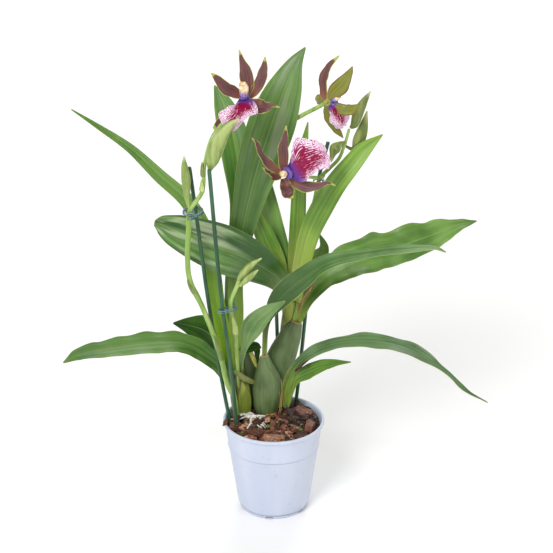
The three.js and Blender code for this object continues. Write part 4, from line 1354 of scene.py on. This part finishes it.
# %% The front flower
front_face = (-0.1, -0.97, 0.1)
tepals("flower_front_tepals", (10, 0, 422), [(52, 38, 404), (28, 20, 412), (10, 0, 422)], [
    ([(12, -2, 423), (11, -1, 437), (11, 1, 453), (13, 3, 466), (14, 4, 478)],
     [2.8, 5.8, 5.8, 3.4, 0.5], (front_face, (-0.1, -0.95, 0.1)), 0.4),
    ([(8, -2, 425), (-3, -3, 433), (-13, -5, 446), (-18, -6, 460), (-24, -8, 468)],
     [2.8, 5.2, 4.2, 2.6, 0.4], ((0, -0.9, 0.5), (0.75, -0.5, 0.5)), 1.4),
    ([(8, -4, 423), (3, -10, 423), (-3, -18, 427), (-7, -26, 435), (-12, -32, 442)],
     [2.6, 6.2, 6.0, 3.2, 0.5], ((-0.2, -0.6, 0.75), (0.4, -0.5, 0.8)), 1.4),
    ([(11, -4, 419), (13, -9, 414), (15, -15, 409), (17, -20, 405), (21, -24, 403)],
     [3.0, 6.4, 7.4, 6.4, 2.0], ((0, -0.75, 0.65), (0.1, -0.6, 0.8)), 3.2),
    ([(14, -3, 419), (24, -6, 414), (36, -9, 411), (49, -12, 413), (60, -13, 417), (69, -14, 414)],
     [2.8, 5.2, 6.4, 4.4, 2.0, 0.4], ((0, -0.9, 0.4), (0, -0.95, 0.3)), 0.5),
])
lip("flower_front_lip", lip_full,
    [(18, -6, 427), (23, -13, 431), (31, -14, 437), (42, -12, 442), (53, -10, 448), (60, -9, 451)],
    ([7, 12, 15.5, 31, 27, 18, 9], [7, 14, 16, 14, 13, 17, 7]), ((-0.4, -0.9, 0.1), (0, -1, 0.15)),
    (15, -9, 427), 5.2, 2.0, frill=1.2)
column("flower_front_column", [(12, -3, 424), (12, -9, 427), (11, -15, 428), (11, -17, 428)],
       [4, 4.2, 4.4, 3.0], (0, 0, 1))
print("front flower made")

# %% The right flower, seen from behind
right_back = (0.45, 0.85, -0.05)
tepals("flower_right_tepals", (59, 32, 496), [(57, 35, 494), (58, 34, 495), (59, 32, 496)], [
    ([(59, 31, 497), (56, 36, 506), (56, 40, 520), (61, 40, 534), (73, 38, 548)],
     [2.8, 6.6, 7.0, 4.8, 0.5], ((-0.7, -0.7, 0.1), (-0.85, -0.5, 0)), 0.4),
    ([(60, 30, 498), (67, 28, 508), (76, 26, 519), (83, 26, 530), (87, 26, 539)],
     [2.8, 8.4, 8.6, 4.6, 0.5], (right_back, right_back), 0.6),
    ([(61, 30, 495), (70, 24, 492), (81, 18, 491), (90, 14, 495), (95, 12, 500)],
     [2.6, 6.0, 6.4, 4.4, 0.6], ((0.3, 0.85, -0.4), (0.3, 0.85, -0.3)), 1.0),
    ([(59, 31, 494), (61, 32, 482), (65, 31, 472), (71, 29, 463), (78, 28, 455)],
     [2.8, 7.4, 8.2, 6.0, 0.8], ((0.5, 0.8, 0.1), (0.6, 0.7, 0.3)), 0.5),
    ([(58, 32, 496), (54, 40, 494), (50, 48, 493), (48, 56, 491), (47, 60, 491)],
     [2.6, 6.0, 6.0, 3.6, 0.5], ((0.8, 0.5, 0), (0.8, 0.5, 0)), 0.5),
], knob_olive)
lip("flower_right_lip", lip_pale, [(64, 27, 495), (69, 24, 491), (73, 23, 484), (76, 23, 476), (78, 24, 469)],
    [4, 9, 12, 14, 13, 11, 5], ((0.4, -0.7, 0.6), (0.5, -0.75, 0.4)), (67, 29, 496), 3.0, 3.0, thick=0.65)
column("flower_right_column", [(64, 29, 498), (68, 29, 500), (71, 28, 502), (73, 28, 503)],
       [3.0, 3.2, 3.2, 2.2], (0, 0, 1))
print("right flower made")

# %% [markdown]
# ## Stakes and clips
# The flower stalks are held up by thin coated steel stakes, and bound to them by clips of
# wire. A clip is two turns of wire round stalk and stake, with a small curl at each end. A
# round wire is best drawn as a tube along its route.

# %% The four stakes
stake_radius = 2.3
stakes = {
    "stake_left": [(-42, 8, 45), (-52, 8, 106), (-64, 6, 182), (-75, -4, 271), (-84, -14, 361),
                   (-92, -24, 440)],
    "stake_front": [(-36, -13, 45), (-43, -15, 104), (-49, -19, 188), (-59, -25, 281), (-70, -36, 442)],
    "stake_right": [(16, 36, 45), (26, 44, 106), (33, 50, 173), (39, 51, 242), (52, 52, 398), (62, 52, 442)],
    "stake_middle": [(5, 38, 45), (6, 51, 112), (4, 57, 205), (-3, 64, 384)],
}
for name, route in stakes.items():
    grow(name + "_rod", stake_green, "stake", [name], route, [stake_radius] * len(route), rows=60, sides=14)
print("stakes:", len(stakes))

# %% The three clips
wire_turns, turn_steps, wire_spread = 2, 12, 4.4
curl_radius, curl_step = 1.5, 0.75


def clip_curl(end, inner, up):
    """The small curl in which the wire ends, in mm, from the last point of the turns outwards."""
    leave = (end - inner).normalized()
    curl = []
    for i in range(1, 7):
        angle = i * curl_step
        ahead = leave * (curl_radius * math.sin(angle) + 0.8)
        curl.append(end + ahead + up * curl_radius * (1 - math.cos(angle)))
    return curl


def clip(node_name, one, other, reach, wide, wire_radius=0.7):
    """reach: how far the loops pass the stalk and the stake; wide: half their width across."""
    one, other = Vector(one), Vector(other)
    long_way = (other - one).normalized()
    wide_way = Vector((-long_way.y, long_way.x, 0)).normalized()
    long = (other - one).length / 2 + reach
    points = []
    steps = turn_steps * wire_turns
    for i in range(steps + 1):
        angle = 0.5 + 2 * math.pi * i / turn_steps
        rise = (i / steps - 0.5) * wire_spread
        place = (one + other) / 2 + long_way * long * math.cos(angle) + wide_way * wide * math.sin(angle)
        points.append(place + Vector((0, 0, rise)))
    low = clip_curl(points[0], points[1], Vector((0, 0, -1)))
    points = low[::-1] + points
    points += clip_curl(points[-1], points[-2], Vector((0, 0, 1)))
    route = [tuple(point) for point in points]
    grow(node_name + "_wire", wire_blue, "clip", [node_name], route, [wire_radius] * 2,
         ((0, 0, 1), (0, 0, 1)), rows=150, sides=8)


clip("clip_left", (-86, -17, 387), (-92, -32, 388), 6.5, 10, 0.85)
clip("clip_front", (-58, -24, 266), (-47, -18, 266), 5.5, 5.5)
clip("clip_right", (52, 52, 396), (51, 41, 396), 6, 6)
print("clips made")

# %% [markdown]
# ## Small growing parts
# Bracts on the stalks, sheaths and a shaded lobe at the left shoot, the dry rests of old leaves,
# and white roots over the bark. They are small, but a plant without them looks moulded.

# %% Bracts on the stalks
def bract(name, stalk, t, reach, radius, half, out, finish=sheath_green):
    """A short blade that hugs a stalk from t on, its open side turned away from out."""
    stalk_route = metres(stalks[stalk][0])
    out = Vector(out).normalized()
    share = reach / (route_length(stalk_route) / MM)
    route = []
    for i in range(4):
        base = point_on(stalk_route, min(t + share * i / 3, 1)) / MM
        route.append(tuple(base + out * (radius + 0.5 + 0.5 * i)))
    plain_blade(name, finish, "stalk", route, [half, half, half * 0.7, 0.5], (tuple(-out), tuple(-out)),
                fold=(0.5, 0.4), ribs=0.1, thick=0.6, lanes=8, rows=12)


bract("bract_left_low", "left", 0.14, 20, 3.0, 3.2, (0.2, -1, 0.1))
bract("bract_left_middle", "left", 0.27, 18, 2.8, 3.0, (-0.5, -0.9, 0.1))
bract("bract_left_high", "left", 0.5, 15, 2.7, 3.0, (0.4, -0.9, 0.1))
bract("bract_left_fork", "left", 0.69, 16, 2.2, 3.2, (-0.5, -0.8, 0.2), bract_pale)
bract("bract_front_sheath", "front", 0.3, 26, 2.6, 3.2, (0.1, -1, 0.2), bract_pale)
bract("bract_right_high", "right", 0.5, 12, 2.1, 2.6, (0.5, -0.8, 0.1), bract_pale)
bract("bract_left_bud", "left", 0.735, 17, 2.3, 3.0, (-0.75, -0.65, 0.1))

# %% Sheaths round the foot of the left shoot
def sheath(name, finish, route, half, faces, **form):
    plain_blade(name, finish, "shoot", route, half, faces, ribs=0.3, thick=0.8, lanes=8, rows=16, **form)


sheath("sheath_band", sheath_olive,
       [(-46, 5, 175), (-39, 5, 168.5), (-31, 7.5, 161.5), (-20, 17, 152)], [2.4, 3.2, 3.3, 2.4],
       ((-0.1, -0.95, 0.3), (0.3, -0.9, 0.3)), fold=(-0.35, -0.35), ripple=0.3, waver=0.05)
sheath("sheath_left", sheath_green,
       [(-45, 12, 112), (-47, 10, 132), (-49, 8, 152), (-50, 6, 176)], [4.5, 5, 3.6, 1.2],
       ((-0.5, -0.85, 0.1), (-0.5, -0.85, 0.1)), fold=(-0.5, -0.4))
sheath("sheath_stub", stub_green,
       [(-20.5, 25, 170), (-22.5, 25, 177), (-25, 25, 184), (-28, 25, 192)], [1.2, 2.3, 2.6, 2.2],
       ((0.1, -0.95, 0.1), (0.1, -0.95, 0.1)), fold=(0.4, 0.3))
sheath("sheath_right", shoot_green,
       [(-33, 11, 108), (-32, 9, 124), (-33, 8, 142), (-38, 6, 160)], [5, 5.8, 5, 1.0],
       ((0.2, -0.95, 0.1), (0.2, -0.95, 0.1)), fold=(-0.45, -0.4), ripple=0.5, waver=0.06)
print("sheaths made")

# %% The shaded lobe behind the front leaf
lobe_parts = []
for route, half in (
        ([(-40, 23, 191), (-33, 22, 195), (-26, 21, 198), (-20, 21, 199), (-14.5, 20, 197)],
         [3.5, 5.5, 6, 5, 0.6]),
        ([(-21, 24, 199), (-19.5, 26, 190), (-19.5, 26, 181), (-20, 26, 172)], [4, 3.8, 2.4, 0.6])):
    lobe_parts.append(blade("lobe_part", route, half, (to_front, to_front), leaf_deep_shaded, leaf_under, lanes=8,
                            rows=16, fold=(0.4, 0.2), ripple=0.6, seed=17.0))
lobe = join_into_one("lobe_behind_front_leaf", lobe_parts)
set_in_place(lobe, "leaf_dark")
print("lobe made of", len(lobe_parts), "parts")

# %% Dry rests of old leaves
def dry_blade(name, finish, route, half, faces):
    plain_blade(name, finish, "shoot", route, half, faces, fold=(0.8, 0.5), ribs=0.2, ripple=0.6, thick=0.7,
                lanes=6, rows=14)


dry_blade("dry_stub", dry_brown, [(25, -1, 177), (30, -3, 183), (35, -5, 189), (40, -6, 194)],
          [1.0, 1.3, 1.1, 0.5], ((0, -0.9, 0.4), (-0.3, -0.8, 0.5)))
dry_blade("dry_edge", dry_tan, [(29, 33, 238), (32, 33, 248), (40, 33, 262), (49, 33, 278)],
          [1.2, 1.5, 1.3, 0.4], ((-0.3, -0.9, 0.3), (-0.3, -0.9, 0.3)))
grow("bulb_seam", seam_olive, "bulb", [],
     [(-10.5, 16.8, 186), (-6, 13.6, 175), (-1.1, 13.2, 168), (7.0, 14.8, 152), (6.6, 17.2, 130),
      (3.8, 18, 112)],
     [0.4, 0.5, 0.6, 0.6, 0.6, 0.5], sides=8, rows=24)
print("dry rests made")

# %% Dry threads round the foot of the front bulb
thread_count, thread_steps, thread_step = 8, 6, 0.28
bulb_foot_x, bulb_foot_y, bulb_squash = -9, 20, 0.72


def foot_thread(number, dice):
    """Part of a loose ring, in mm, of the skin that the bulb has shed."""
    reach, low, start = dice.uniform(13, 17), dice.uniform(109, 113.5), dice.uniform(-2.9, -1.6)
    route = []
    for i in range(thread_steps):
        angle = start + i * thread_step
        wobble = dice.uniform(-0.8, 0.8)
        x = bulb_foot_x + (reach + wobble) * math.cos(angle)
        y = bulb_foot_y + (bulb_squash * reach + wobble) * math.sin(angle)
        route.append((x, y, low + wobble))
    finish = dry_tan if number % 2 else dry_brown
    return painted_tube("thread_part", finish, route, [0.35, 0.6, 0.6, 0.3], sides=6, rows=12)


thread_dice = random.Random(12)
threads = [foot_thread(number, thread_dice) for number in range(thread_count)]
set_in_place(join_into_one("foot_threads", threads), "bulb")
for number, route in enumerate([
        [(5, 16, 150), (8, 13, 134), (7, 11, 120), (4, 9, 110)],
        [(9, 16, 158), (10, 14, 140), (9, 12, 124), (7, 8, 111)]]):
    grow("edge_thread_" + str(number), dry_tan, "leaf", [], route, [0.3, 0.45, 0.45, 0.2], sides=6, rows=16)
print("threads round the foot:", thread_count)

# %% Roots over the bark
roots = [
    ([(-10, 8, 113), (-20, 3, 116), (-32, 2, 115.5), (-43, 1, 111)], [1.2, 1.4, 1.2, 0.6]),
    ([(-12, 6, 113), (-16, -3, 116), (-15, -13, 114), (-20, -22, 110)], [1.3, 1.5, 1.2, 0.6]),
    ([(-16, 8, 114), (-26, -2, 116), (-27, -12, 114), (-33, -20, 109)], [1.1, 1.5, 1.4, 0.7]),
    ([(-22, 14, 112), (-30, 10, 116), (-38, 8, 114), (-45, 2, 109)], [1.0, 1.2, 1.0, 0.6]),
]
for number, (route, radii) in enumerate(roots):
    grow("root_" + str(number + 1), root_white, "bulb", [], route, radii, sides=10, rows=16, flat=0.8)
print("long roots:", len(roots))

# %% A felt of short roots
felt_count, felt_steps = 60, 5
felt_start, felt_slope = (-40, 18), 1.35


def felt_root(number, dice):
    """A short thick root on the bark. The felt runs from the left of the mix to its front."""
    x, way, length = dice.uniform(-38, -14), dice.uniform(-1.2, 0.4), dice.uniform(8, 17)
    y = felt_start[1] - felt_slope * (x - felt_start[0]) + dice.uniform(-6, 8)
    route = []
    for i in range(felt_steps):
        bend = dice.uniform(-1.4, 1.4)
        ahead = length * (i / (felt_steps - 1) - 0.5)
        place_x = x + ahead * math.cos(way) - bend * math.sin(way)
        place_y = y + ahead * math.sin(way) + bend * math.cos(way)
        rise = dice.uniform(4.6, 6.4) - (2.6 if i in (0, felt_steps - 1) else 0)
        route.append((place_x, place_y, mix_height(place_x, place_y) + rise))
    thick = dice.uniform(0.35, 0.85)
    radii = [thick * 0.7, thick, thick * 1.1, thick, thick * 0.5]
    finish = root_white if number % 4 else dry_tan
    return painted_tube("root_part", finish, route, radii, sides=8, rows=12, flat=0.75)


root_dice = random.Random(21)
felt = [felt_root(number, root_dice) for number in range(felt_count)]
set_in_place(join_into_one("felt_roots", felt), "bulb")
print("short roots:", felt_count)
